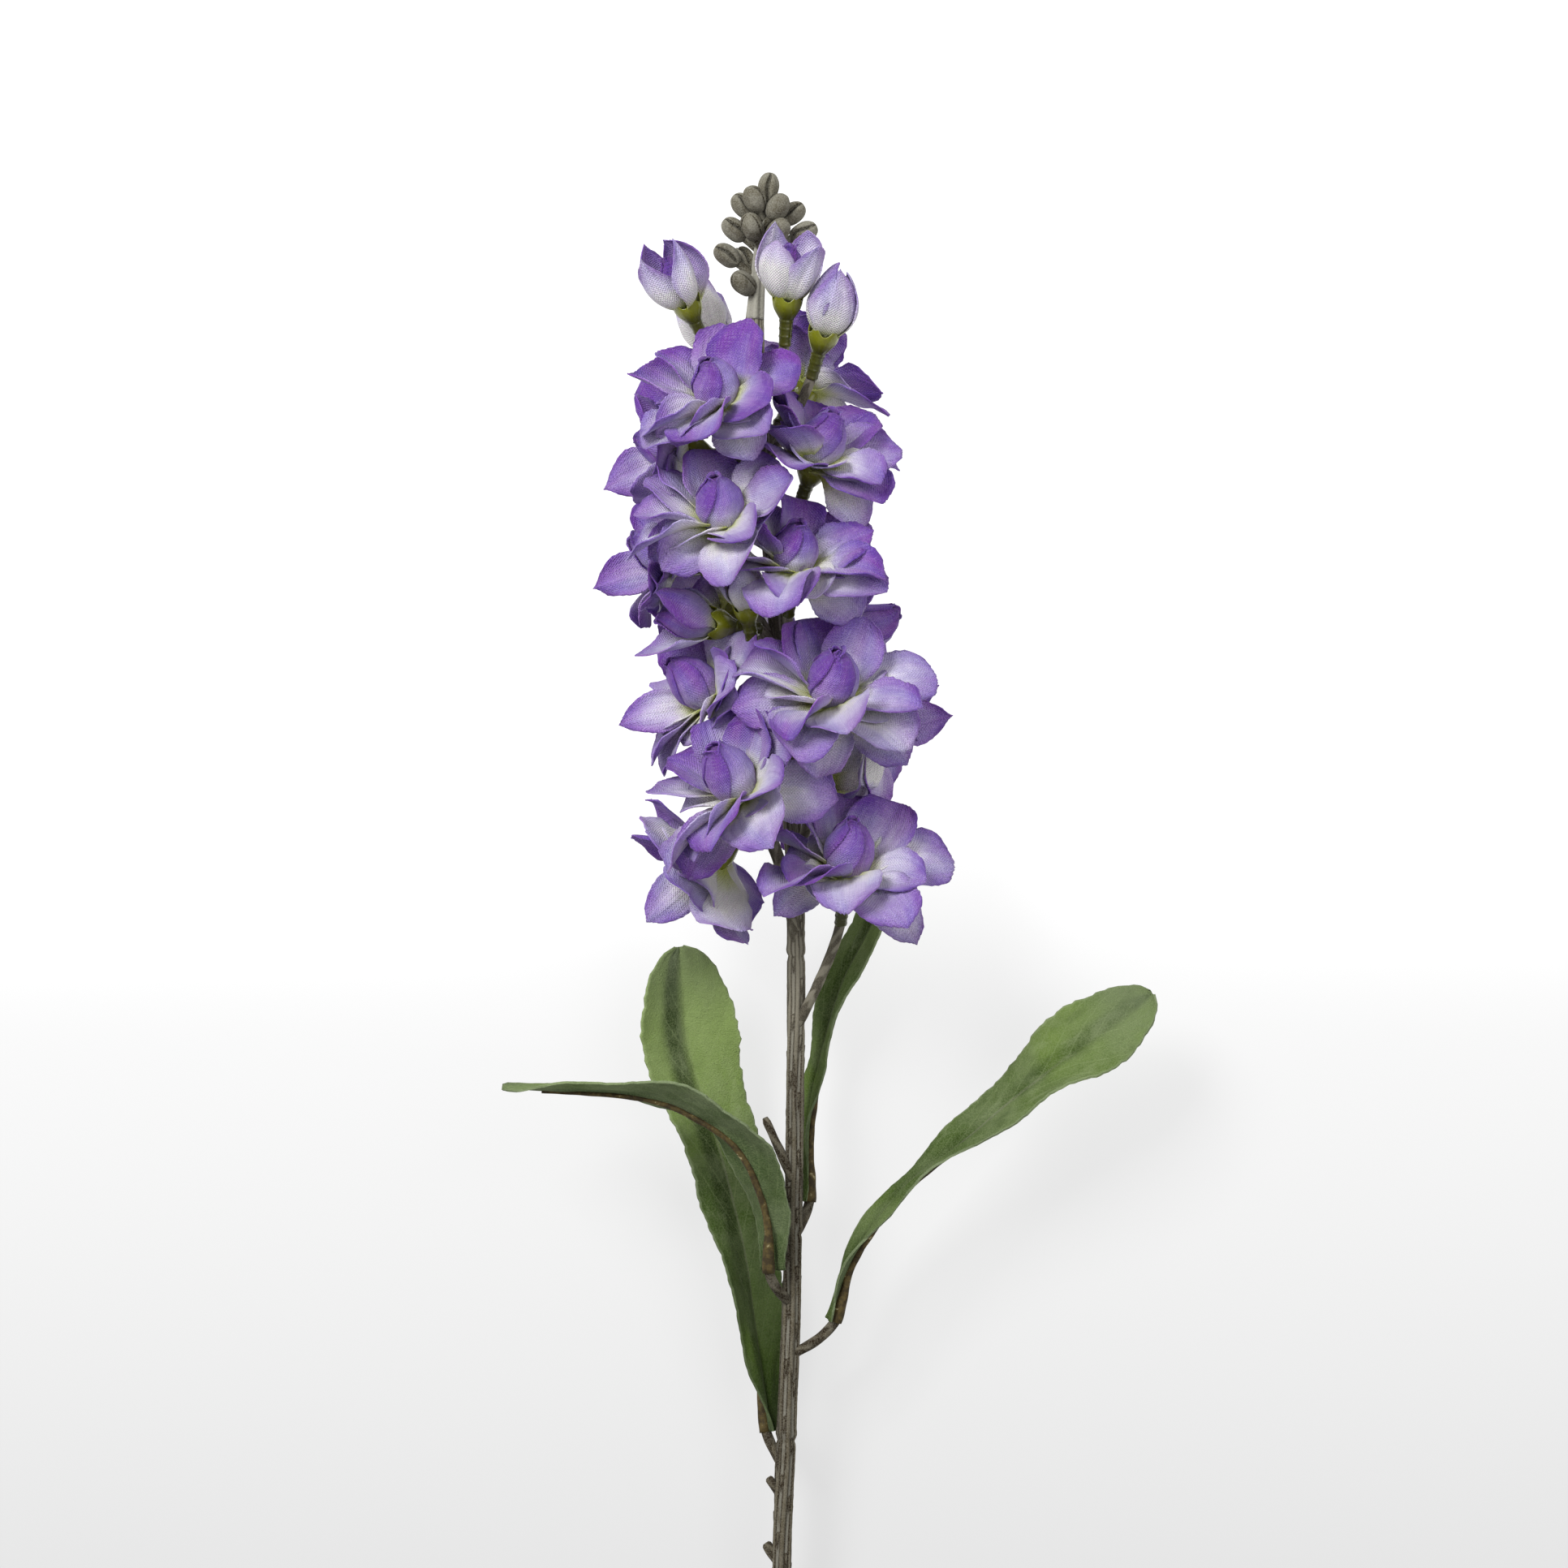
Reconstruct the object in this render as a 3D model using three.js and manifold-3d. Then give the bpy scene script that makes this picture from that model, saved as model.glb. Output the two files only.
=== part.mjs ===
// A cut stem of artificial stock, laid on its back: a ribbed wire stem with side shoots, fabric
// blooms and opening buds on green cups, a cluster of closed buds at the tip, and four fabric leaves.
// Everything is placed in the stem's own frame, in millimetres: x to the right, y up the stem to the
// tip, z to the viewer. At the end the whole stem is tipped back so that it lies on the plane z = 0.
import * as THREE from 'three';
import { mergeVertices } from 'three/addons/utils/BufferGeometryUtils.js';
import Module from 'manifold-3d';

const wasm = await Module();
wasm.setup();

// How the stem lies: it rises from its cut end to the head, and the frame's origin is under its middle.
const LYING_TILT = 4.4;
const FOOT_Y = -440;
const FOOT_RADIUS = 3.4;
const FOOT_FLAT = 0.3;
const FRAME_SHIFT_X = -14.5;
const FRAME_SHIFT_Y = 129.5;

// The stem: the middle line from the cut end to the seat of the bud cluster, its taper and its ribs.
const STEM_LINE = [
  [-1.5, FOOT_Y, 0], [-1.2, -330, 0], [-0.7, -232, 0], [2.2, -152, 0], [3.6, -56, 0],
  [2.2, -8, 0], [-2.6, 54, 0], [-7.6, 112, 0], [-8.4, 142.5, 0],
];
const STEM_RIBS = 7;
const STEM_RIB_DEPTH = 0.55;
const STEM_TOP_RADIUS = 2.6;
const STEM_STEPS = 11;
const SHOOT_RADIUS = 1.55;
const SHOOT_RISE = 1.5;
const LEAF_FOOT_DROP = 12;

// Gaps between separate pieces that touch.
const SEAT_GAP = 0.3;
const CUT_GAP = 0.35;

// Fabric: the thickness of a petal and of a leaf.
const PETAL_THICK = 0.62;
const LEAF_THICK = 0.8;

// A cup: a green stalk under a shallow bowl, both turned.
const CUP_RADIUS = 4.9;
const CUP_DEPTH = 5;
const STALK_RADIUS = 2.1;
const STALK_LENGTH = 11;
const CUP_SIDES = 6;

// Rings of petals. Angles are degrees from the bloom's axis, at the root and at the tip. The root is
// root above the cup's rim and middle out from the axis. The claw is a share of the widest half width.
// A petal that hangs is opened further by its droop, and one that stands is closed by it.
const OUTER = {
  length: 28.5, half: 10.2, from: 66, to: 94, wrap: 30, curl: 2.4, twist: 15, ruffle: 1.5, phase: 0,
  root: 1.1, middle: 1.1, claw: 0.1, widest: 0.56, droop: 26,
};
const INNER = {
  length: 24.5, half: 9.2, from: 64, to: 58, wrap: 15, curl: 2, twist: 18, ruffle: 0.9, phase: 0.5,
  root: 1.9, middle: 1.1, claw: 0.1, widest: 0.56, droop: 44,
};
const OPENING = {
  length: 24.5, half: 8.8, from: 60, to: -40, wrap: 8, curl: 0.4, twist: 9, ruffle: 0.4, phase: 0,
  root: 0.5, middle: 2.2, claw: 0.3, widest: 0.44, droop: 26,
};
// How many petals a bloom has in its outer and inner ring. An opening bud has as many as an inner ring.
const FRONT_COUNTS = [5, 4];
const OTHER_COUNTS = [4, 3];

// How far the end of a petal arches back at its sides.
const PETAL_ARCH = 0.12;
const LONG_ROWS = [0, 0.4, 0.76, 1];
const SHORT_ROWS = [0, 0.53, 1];

// The closed heart of a bloom: its outline from the cup to the point, and the steps between the petals
// that wrap it. A bud that opens has only the lower part of one.
const HEART_OUTLINE = [[3.6, 0.3], [6.5, 8], [5.6, 14], [0.9, 20]];
const SEED_OUTLINE = [[4.2, 0.3], [5.4, 4], [4.4, 9], [1.2, 13]];
const HEART_WRAPS = 3;
const HEART_STEP = [1.06, 0.94];
const HEART_TURN = 50;

// How petals keep clear: each bloom has a cell between its neighbours, and petals bend at its walls.
const CELL_REACH = 24;
const BUD_REACH = 12;
const CELL_CENTRE = 8;
const CELL_MARGIN = 0.6;
const CELL_SOFTNESS = 5;
const CELL_RANGE = 14;
const CLOSE_STEP = 8;
const CLOSE_STEPS = 4;
const CLOSE_ENOUGH = 4;
const GROUND_SOFTNESS = 0.8;
const GROUND_PRESS = 0.4;

// Blooms: the cup's rim, the way the bloom looks (turn about the stem from the viewer, positive to the
// right, then rise towards the tip), its roll, and how large it is. A bud's spread opens it further, or less.
const BLOOMS = [
  { name: 'bloom_01', at: [-17.5, 109, 22], turn: -28, rise: 54, roll: 20, size: 1.05, front: true },
  { name: 'bloom_02', at: [8.5, 92.5, 16], turn: 44, rise: 62, roll: 60, size: 1.02, front: true },
  { name: 'bloom_03', at: [-27, 98.5, 1], turn: -84, rise: 12, roll: 10, size: 1 },
  { name: 'bloom_04', at: [-17.5, 74, 26], turn: -16, rise: 56, roll: 75, size: 1.06, front: true, drop: 14 },
  { name: 'bloom_05', at: [2.5, 61, 25], turn: 10, rise: 58, roll: 40, size: 1.02, front: true },
  { name: 'bloom_06', at: [-29, 65.5, 6], turn: -78, rise: 22, roll: 50, size: 0.98 },
  { name: 'bloom_07', at: [13.5, 22.5, 29], turn: 8, rise: 54, roll: 15, size: 1.12, front: true },
  { name: 'bloom_08', at: [18, 41, -3], turn: 80, rise: 34, roll: 30, size: 1 },
  { name: 'bloom_09', at: [23, 16, 3], turn: 78, rise: -6, roll: 0, size: 0.98 },
  { name: 'bloom_10', at: [-19.5, 24, 6], turn: -62, rise: 36, roll: 65, size: 1.04 },
  { name: 'bloom_11', at: [-11, -4.5, 26], turn: -44, rise: 46, roll: 35, size: 1.1, front: true },
  { name: 'bloom_12', at: [-19, -20, 8], turn: -112, rise: -28, roll: 25, size: 1.04, drop: 34 },
  { name: 'bloom_13', at: [18, -28, 21], turn: 12, rise: 62, roll: 5, size: 1.12, front: true, drop: 33 },
  { name: 'bloom_14', at: [10, -2, -15.8], turn: 140, rise: 24, roll: 45, size: 1 },
  { name: 'bloom_15', at: [5, 116, -9], turn: 132, rise: 46, roll: 30, size: 0.94 },
  { name: 'bloom_16', at: [-15, 50, -17.5], turn: -140, rise: 24, roll: 17, size: 0.98 },
];
const BUDS = [
  { name: 'bud_01', at: [-28.2, 140.5, 7], turn: -55, rise: 60, roll: 10, size: 0.9, front: true },
  { name: 'bud_02', at: [-20, 131, -10], turn: -140, rise: 58, roll: 50, size: 0.86 },
  { name: 'bud_03', at: [1, 141.5, 12], turn: 12, rise: 74, roll: 35, size: 0.98, front: true, spread: 14 },
  { name: 'bud_04', at: [11.5, 131.5, 12], turn: 40, rise: 66, roll: 70, size: 0.96, front: true, spread: -16 },
  { name: 'bud_05', at: [-20, 47, 12], turn: -76, rise: 6, roll: 20, size: 1, spread: 52 },
  { name: 'bud_06', at: [-11, 51, 19], turn: -25, rise: 66, roll: 60, size: 0.8 },
];

// Leaves: the midrib, the way the upper face looks at the root and at the tip, and the blade's half widths.
const LEAVES = [
  {
    name: 'leaf_back_left', fold: 24, wave: 0.9,
    line: [[-3.6, -192, -4.5], [-8.5, -161, -8], [-13, -133, -11], [-21, -103, -12], [-28.5, -78, -12], [-31, -48.5, -9]],
    faces: [[0.75, 0.2, 0.65], [0.35, 0.05, 0.9], [0.3, 0, 0.95]],
    half: [3, 6.5, 8, 10, 12.5, 15.5, 15.5],
  },
  {
    name: 'leaf_left', fold: 16, wave: 1.1,
    line: [[-3.4, -143, 8], [-4.6, -126, 11], [-12, -107.5, 15], [-25, -97, 18], [-43, -90.5, 20], [-82, -88, 20]],
    faces: [[0.45, 0.1, -0.9], [0.3, 0.85, -0.4], [0.1, 0.98, 0.12]],
    half: [4, 6.5, 9, 10.5, 10.5, 9, 7],
  },
  {
    name: 'leaf_right', fold: 14, wave: 1,
    line: [[13, -158, 3], [20, -139, 5], [34.5, -119.5, 6], [55, -103, 6], [79, -84, 4], [109, -62, 0]],
    faces: [[-0.85, 0.35, 0.3], [-0.6, 0.65, 0.5], [-0.25, 0.45, 0.85]],
    half: [2.6, 3.2, 5, 7.5, 12, 13.5, 13],
  },
  {
    name: 'leaf_back_right', fold: 20, wave: 1,
    line: [[5.6, -124, -8], [7.5, -98, -12], [12, -76, -15], [19, -56, -18], [30, -36, -22], [43.5, -17, -24]],
    faces: [[-0.8, -0.1, 0.55], [-0.75, 0.25, 0.6], [-0.65, 0.3, 0.7]],
    half: [1.6, 2.2, 4, 6.5, 7.5, 7.5, 7],
  },
];
const LEAF_ROWS = 9;
const LEAF_COLUMNS = 4;
const LEAF_ROUND = 0.8;
const RIB_RADIUS = 1.1;
const RIB_END_RADIUS = 0.55;
const RIB_REACH = 0.62;
const SLEEVE_RADIUS = 1.9;
const SLEEVE_LENGTH = 13;

// Pegs on the stem: one bare stub for a leaf, and two broken thorns near the foot.
const STUB = { from: [2.6, -117, 1], to: [-5.6, -98.5, 3.5], radius: 1.35 };
const THORNS = [
  { from: [0.4, -212, 0], to: [-4.6, -205, 0.5], radius: 1.5 },
  { from: [-0.8, -231, 0], to: [-5.4, -224.5, 0], radius: 1.7 },
];

// The closed buds at the tip: where each sits, how it leans, and which way its cleft looks.
const TIP_LINE = [[-8.2, 143.2, 0], [-7.2, 156, 0], [-5.2, 172, 0]];
const TIP_BUDS = [
  [-4.6, 176.4, 0.6, 0], [-12, 171, -1, 25], [-8.8, 172.4, 4, 75], [-1.9, 170.2, 4, 100],
  [2.4, 168.7, -1, -30], [-14.6, 163.9, 0, 34], [-9.4, 164.4, 4.6, -70], [-1.9, 163, 4.6, 120],
  [5.8, 163, 0, -36], [-16.8, 156.2, 1, 12], [-11.8, 155.5, -4.4, 20], [-12, 147.8, 3.4, -64],
];
const TIP_BUD_RADIUS = 3.45;
const TIP_BUD_LONG = 1.25;
const TIP_CLEFT = 0.3;
const TIP_SIDES = 7;
const TIP_RINGS = 4;

const vector = ([x, y, z]) => new THREE.Vector3(x, y, z);
const radians = THREE.MathUtils.degToRad;
const smooth = (t) => t * t * (3 - 2 * t);

// A number from 0 to 1 that is always the same for the same whole number.
function scatter(n) {
  const far = Math.sin(n * 12.9898 + 4.1414) * 43758.5453;
  return far - Math.floor(far);
}

// A closed three.js geometry as a solid, with its shared corners joined and its empty faces dropped.
function solidFrom(geometry) {
  const bare = new THREE.BufferGeometry();
  bare.setAttribute('position', geometry.getAttribute('position'));
  if (geometry.index) bare.setIndex(geometry.index);
  const merged = mergeVertices(bare, 1e-4);
  const corners = merged.index.array;
  const kept = [];
  for (let i = 0; i < corners.length; i += 3) {
    const [a, b, c] = [corners[i], corners[i + 1], corners[i + 2]];
    if (a !== b && b !== c && a !== c) kept.push(a, b, c);
  }
  const vertProperties = new Float32Array(merged.attributes.position.array);
  const made = new wasm.Manifold(new wasm.Mesh({ numProp: 3, vertProperties, triVerts: new Uint32Array(kept) }));
  if (made.volume() >= 0) return made;
  const turned = [];
  for (let i = 0; i < kept.length; i += 3) turned.push(kept[i], kept[i + 2], kept[i + 1]);
  return new wasm.Manifold(new wasm.Mesh({ numProp: 3, vertProperties, triVerts: new Uint32Array(turned) }));
}

// The largest body of a solid: what a cut leaves loose is dropped.
function largestBody(solid) {
  return solid.decompose().sort((a, b) => b.volume() - a.volume())[0];
}

function joined(solids) {
  return solids.reduce((whole, one) => whole.add(one));
}

// A solid as a named mesh with its own material.
function meshOf(name, solid, material) {
  const { vertProperties, triVerts, numProp } = solid.getMesh();
  const count = vertProperties.length / numProp;
  const position = new Float32Array(count * 3);
  for (let i = 0; i < count; i++) position.set(vertProperties.subarray(i * numProp, i * numProp + 3), i * 3);
  const geometry = new THREE.BufferGeometry();
  geometry.setAttribute('position', new THREE.BufferAttribute(position, 3));
  geometry.setIndex(new THREE.BufferAttribute(new Uint32Array(triVerts), 1));
  geometry.computeVertexNormals();
  const mesh = new THREE.Mesh(geometry, material);
  mesh.name = name;
  return mesh;
}

// Rings of corners carried along, closed by a fan at each end.
function loft(rings) {
  const sides = rings[0].length;
  const corners = rings.flat();
  const first = rings[0].reduce((sum, p) => sum.add(p), new THREE.Vector3()).divideScalar(sides);
  const last = rings.at(-1).reduce((sum, p) => sum.add(p), new THREE.Vector3()).divideScalar(sides);
  const faces = [];
  for (let ring = 0; ring + 1 < rings.length; ring++) {
    for (let side = 0; side < sides; side++) {
      const a = ring * sides + side;
      const b = ring * sides + ((side + 1) % sides);
      faces.push(a, b, b + sides, a, b + sides, a + sides);
    }
  }
  for (let side = 0; side < sides; side++) {
    const next = (side + 1) % sides;
    const top = (rings.length - 1) * sides;
    faces.push(corners.length, next, side, corners.length + 1, top + side, top + next);
  }
  const geometry = new THREE.BufferGeometry().setFromPoints([...corners, first, last]);
  geometry.setIndex(faces);
  return solidFrom(geometry);
}

// A round or ribbed rod along a curve. radiusAt gives the radius from the share of the length and the turn.
function rod(curve, steps, sides, radiusAt) {
  const { normals, binormals } = curve.computeFrenetFrames(steps, false);
  const rings = [];
  for (let step = 0; step <= steps; step++) {
    const centre = curve.getPointAt(step / steps);
    const ring = [];
    for (let side = 0; side < sides; side++) {
      const angle = (2 * Math.PI * side) / sides;
      const radius = radiusAt(step / steps, side);
      ring.push(centre.clone()
        .addScaledVector(normals[step], radius * Math.cos(angle))
        .addScaledVector(binormals[step], radius * Math.sin(angle)));
    }
    rings.push(ring);
  }
  return loft(rings);
}

// A thin curved blade about a middle surface given by at(u, s): u runs across from -1 to 1, s along
// from 0 to 1. Both faces are split into triangles alike.
function blade(at, columns, rows, thick) {
  const wide = columns + 1;
  const middle = rows.map((s) => Array.from({ length: wide }, (_, i) => at((2 * i) / columns - 1, s)));
  const clamp = (n, most) => Math.max(0, Math.min(most, n));
  const normalAt = (i, j) => {
    const across = middle[j][clamp(i + 1, columns)].clone().sub(middle[j][clamp(i - 1, columns)]);
    const along = middle[clamp(j + 1, rows.length - 1)][i].clone().sub(middle[clamp(j - 1, rows.length - 1)][i]);
    return across.cross(along).normalize();
  };
  const front = [];
  const back = [];
  middle.forEach((row, j) => row.forEach((p, i) => {
    const normal = normalAt(i, j);
    front.push(p.clone().addScaledVector(normal, thick / 2));
    back.push(p.clone().addScaledVector(normal, -thick / 2));
  }));
  const offset = front.length;
  const faces = [];
  for (let j = 0; j + 1 < rows.length; j++) {
    for (let i = 0; i < columns; i++) {
      const [a, b, c, d] = [j * wide + i, j * wide + i + 1, (j + 1) * wide + i + 1, (j + 1) * wide + i];
      faces.push(a, b, c, a, c, d);
      faces.push(offset + a, offset + c, offset + b, offset + a, offset + d, offset + c);
    }
  }
  const edge = [];
  for (let i = 0; i < columns; i++) edge.push(i);
  for (let j = 0; j + 1 < rows.length; j++) edge.push(j * wide + columns);
  for (let i = columns; i > 0; i--) edge.push((rows.length - 1) * wide + i);
  for (let j = rows.length - 1; j > 0; j--) edge.push(j * wide);
  edge.forEach((a, k) => {
    const b = edge[(k + 1) % edge.length];
    faces.push(a, offset + a, offset + b, a, offset + b, b);
  });
  const geometry = new THREE.BufferGeometry().setFromPoints([...front, ...back]);
  geometry.setIndex(faces);
  return solidFrom(geometry);
}

const stemCurve = new THREE.CatmullRomCurve3(STEM_LINE.map(vector), false, 'catmullrom', 0.5);

// The middle of the stem at a height: the curve rises all the way, so halving finds it.
function stemAt(y) {
  let [low, high] = [0, 1];
  for (let i = 0; i < 40; i++) {
    const mid = (low + high) / 2;
    if (stemCurve.getPoint(mid).y < y) low = mid;
    else high = mid;
  }
  return stemCurve.getPoint(low);
}

function stemRadius(y) {
  const share = (y - FOOT_Y) / (STEM_LINE.at(-1)[1] - FOOT_Y);
  return THREE.MathUtils.lerp(FOOT_RADIUS, STEM_TOP_RADIUS, share);
}

// The plane that the stem lies on, seen from the stem's own frame: the way up from it, how far it is
// below the middle of the stem's frame, and all that is under it. The foot is pressed in by a flat.
const tilt = radians(LYING_TILT);
const groundUp = new THREE.Vector3(0, Math.sin(tilt), Math.cos(tilt));
const groundDrop = -FOOT_Y * Math.sin(tilt) + (FOOT_RADIUS - FOOT_FLAT) * Math.cos(tilt);
const underground = solidFrom(
  new THREE.BoxGeometry(400, 1200, 60).translate(0, 0, -30 - groundDrop).applyMatrix4(
    new THREE.Matrix4().makeRotationX(-tilt),
  ),
);

// A bloom's axis, two directions across it, the middle of its cell, its stalk's foot and its shoot.
function framed(flower, reach) {
  const turn = radians(flower.turn);
  const rise = radians(flower.rise);
  const at = vector(flower.at);
  const axis = new THREE.Vector3(Math.sin(turn) * Math.cos(rise), Math.sin(rise), Math.cos(turn) * Math.cos(rise));
  const side = new THREE.Vector3(Math.cos(turn), 0, -Math.sin(turn));
  const over = axis.clone().cross(side);
  const middle = at.clone().addScaledVector(axis, CELL_CENTRE);
  const foot = at.clone().addScaledVector(axis, -CUP_DEPTH - STALK_LENGTH * flower.size * 0.8);
  return { ...flower, at, axis, side, over, middle, foot, reach: reach * flower.size };
}
const blooms = BLOOMS.map((b, i) => ({ ...framed(b, CELL_REACH), open: true, seed: i * 40 }));
const buds = BUDS.map((b, i) => ({ ...framed(b, BUD_REACH), open: false, seed: 1000 + i * 40 }));
const flowers = [...blooms, ...buds];

// A side shoot leaves the stem's middle below its end and turns into the direction it ends in.
function shootTo(end, direction, drop) {
  const out = end.distanceTo(stemAt(end.y));
  const root = stemAt(end.y - (drop ?? out * SHOOT_RISE));
  const bend = end.clone().addScaledVector(direction, -out * 0.5);
  return new THREE.QuadraticBezierCurve3(root, bend, end);
}
flowers.forEach((flower) => {
  const end = flower.foot.clone().addScaledVector(flower.axis, -SEAT_GAP);
  flower.shoot = shootTo(end, flower.axis, flower.drop);
});

// The walls of a flower's cell: one between it and each near neighbour, and the plane it lies on.
function cellWalls(flower) {
  const walls = [];
  for (const other of flowers) {
    const apart = other.middle.clone().sub(flower.middle);
    const distance = apart.length();
    if (other === flower || distance > flower.reach + other.reach + CELL_RANGE) continue;
    const normal = apart.divideScalar(distance);
    const share = flower.reach / (flower.reach + other.reach);
    const at = normal.dot(flower.middle) + distance * share - CELL_MARGIN;
    walls.push({ normal, at, softness: CELL_SOFTNESS });
  }
  const under = groundUp.clone().negate();
  walls.push({ normal: under, at: groundDrop - PETAL_THICK / 2 + GROUND_PRESS, softness: GROUND_SOFTNESS });
  return walls;
}
flowers.forEach((flower) => { flower.walls = cellWalls(flower); });

// How far a point is past the nearest wall of the cell.
function pastWalls(walls, point) {
  return Math.max(...walls.map((wall) => wall.normal.dot(point) - wall.at));
}

// Bends space so that every point stays inside the cell: past a wall it only nears the wall.
function keepInCell(walls, point) {
  for (const wall of walls) {
    const past = wall.normal.dot(point) - wall.at;
    if (past > -wall.softness) {
      const kept = -wall.softness * Math.exp(-(past + wall.softness) / wall.softness);
      point.addScaledVector(wall.normal, kept - past);
    }
  }
  return point;
}

// The half width of a petal, as a share of its widest: a claw that widens, then a round end.
function petalOutline({ claw, widest }, s) {
  if (s < widest) return claw + (1 - claw) * smooth(s / widest);
  const q = (s - widest) / (1 - widest);
  return Math.sqrt(1 - 0.965 * q * q);
}

// A point of a petal: an arc from root to tip in the plane through the axis, rolled about the axis,
// with a cross section that wraps like part of a pipe, an end that curls back, and a waved edge.
function petalPoint(flower, petal, u, s) {
  const bend = petal.to - petal.from;
  const t = s * (1 - PETAL_ARCH * u * u);
  const angle = petal.from + bend * t;
  const radial = petal.middle + (petal.length / bend) * (Math.cos(petal.from) - Math.cos(angle));
  const height = petal.root + (petal.length / bend) * (Math.sin(angle) - Math.sin(petal.from));
  const x = u * petal.half * petalOutline(petal, t);
  const late = Math.max(0, t - 0.6) / 0.4;
  const wave = Math.sin(9.5 * t + petal.phase + (u > 0 ? 2.1 : 0));
  const lift = petal.wrap * (1 - Math.cos(x / petal.wrap)) - petal.curl * late * late + petal.ruffle * u * u * t * wave;
  const across = petal.wrap * Math.sin(x / petal.wrap);
  const sway = across * Math.cos(petal.twist) - lift * Math.sin(petal.twist);
  const rise = across * Math.sin(petal.twist) + lift * Math.cos(petal.twist);
  const out = radial - rise * Math.cos(angle);
  const up = height + rise * Math.sin(angle);
  const [cos, sin] = [Math.cos(petal.around), Math.sin(petal.around)];
  return flower.at.clone()
    .addScaledVector(flower.side, out * cos - sway * sin)
    .addScaledVector(flower.over, out * sin + sway * cos)
    .addScaledVector(flower.axis, up);
}

// The petals of one ring: evenly spaced with a little scatter, those that hang opened further, and each
// closed until its tip fits the cell.
function ringOf(flower, ring, count, seed) {
  const petals = [];
  for (let k = 0; k < count; k++) {
    const draw = (n) => scatter(flower.seed + seed + k * 7 + n) - 0.5;
    const place = (2 * Math.PI * (k + ring.phase + 0.22 * draw(1))) / count;
    const around = place + radians(flower.roll);
    const upward = flower.side.y * Math.cos(around) + flower.over.y * Math.sin(around);
    const petal = {
      around,
      length: ring.length * flower.size * (1 + 0.14 * draw(2)),
      half: ring.half * flower.size * (1 + 0.16 * draw(3)),
      from: radians(ring.from + 0.5 * Math.min(0, flower.spread ?? 0) + 8 * draw(4) - 0.3 * ring.droop * upward),
      to: radians(ring.to + (flower.spread ?? 0) + 22 * draw(5) - ring.droop * upward),
      wrap: ring.wrap * flower.size,
      curl: ring.curl * (1 + 1.2 * draw(6)),
      twist: radians(ring.twist),
      ruffle: ring.ruffle,
      phase: 6.3 * draw(7),
      root: ring.root,
      middle: ring.middle,
      claw: ring.claw,
      widest: ring.widest,
    };
    petals.push(closedToFit(flower, petal));
  }
  return petals;
}

function closedToFit(flower, petal) {
  let best = petal;
  let least = Infinity;
  for (let step = 0; step <= CLOSE_STEPS; step++) {
    const tried = { ...petal };
    tried.to = petal.to - radians(CLOSE_STEP * step);
    tried.from = petal.from - radians(0.35 * CLOSE_STEP * step);
    const past = pastWalls(flower.walls, petalPoint(flower, tried, 0, 1));
    if (past < least - 0.5) [best, least] = [tried, past];
    if (least < CLOSE_ENOUGH) break;
  }
  return best;
}

function bladesOf(flower, ring, count, rows, seed) {
  const walls = flower.walls;
  return ringOf(flower, ring, count, seed).map((petal) => blade(
    (u, s) => keepInCell(walls, keepInCell(walls, petalPoint(flower, petal, u, s))),
    2, rows, PETAL_THICK,
  ));
}

// A turned solid about a flower's axis, from [radius, height] pairs that start and end on the axis.
function turned(flower, profile, sides) {
  const lathe = new THREE.LatheGeometry(profile.map(([r, y]) => new THREE.Vector2(r, y)), sides);
  const basis = new THREE.Matrix4().makeBasis(flower.side, flower.axis, flower.side.clone().cross(flower.axis));
  basis.setPosition(flower.at);
  return solidFrom(lathe.applyMatrix4(basis));
}

// The heart: rings that turn as they rise, each stepped where one wrapped petal ends on the next.
function heart(flower, outline) {
  const sides = HEART_WRAPS * HEART_STEP.length;
  const rings = outline.map(([radius, height], level) => {
    const turn = radians(HEART_TURN * (level / outline.length) + flower.roll);
    return Array.from({ length: sides }, (_, k) => {
      const angle = turn + (2 * Math.PI * k) / sides;
      const step = level ? HEART_STEP[k % HEART_STEP.length] : 1;
      const r = radius * flower.size * step;
      return flower.at.clone()
        .addScaledVector(flower.side, r * Math.cos(angle))
        .addScaledVector(flower.over, r * Math.sin(angle))
        .addScaledVector(flower.axis, height * flower.size);
    });
  });
  return loft(rings);
}

// The green cup and its stalk. grow thickens it all round, to clear what comes near.
function cup(flower, grow = 0) {
  const size = flower.size;
  const foot = flower.foot.clone().sub(flower.at).dot(flower.axis);
  const profile = [
    [0, foot - grow], [STALK_RADIUS * 0.85 + grow, foot - grow], [STALK_RADIUS + grow, -CUP_DEPTH * size - 0.6],
    [CUP_RADIUS * 0.88 * size + grow, -CUP_DEPTH * 0.6 * size], [CUP_RADIUS * size + grow, grow * 0.6],
    [0, grow * 0.6],
  ];
  return turned(flower, profile, CUP_SIDES);
}

function shootSolid(flower, grow = 0) {
  return rod(flower.shoot, 3, 4, () => SHOOT_RADIUS * 1.08 + grow);
}

function peg({ from, to, radius }, grow = 0) {
  const line = new THREE.LineCurve3(vector(from), vector(to));
  return rod(line, 1, 6, (share) => radius * (1.15 - 0.3 * share) + grow);
}

// The short foot of a leaf's rib on the stem: from the stem's middle to the rib's sleeve.
function leafFoot(leaf, grow = 0) {
  const { foot, tangent } = sleeveLine(leaf);
  return rod(shootTo(foot, tangent, LEAF_FOOT_DROP), 3, 6, () => SLEEVE_RADIUS * 0.8 + grow);
}

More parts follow.
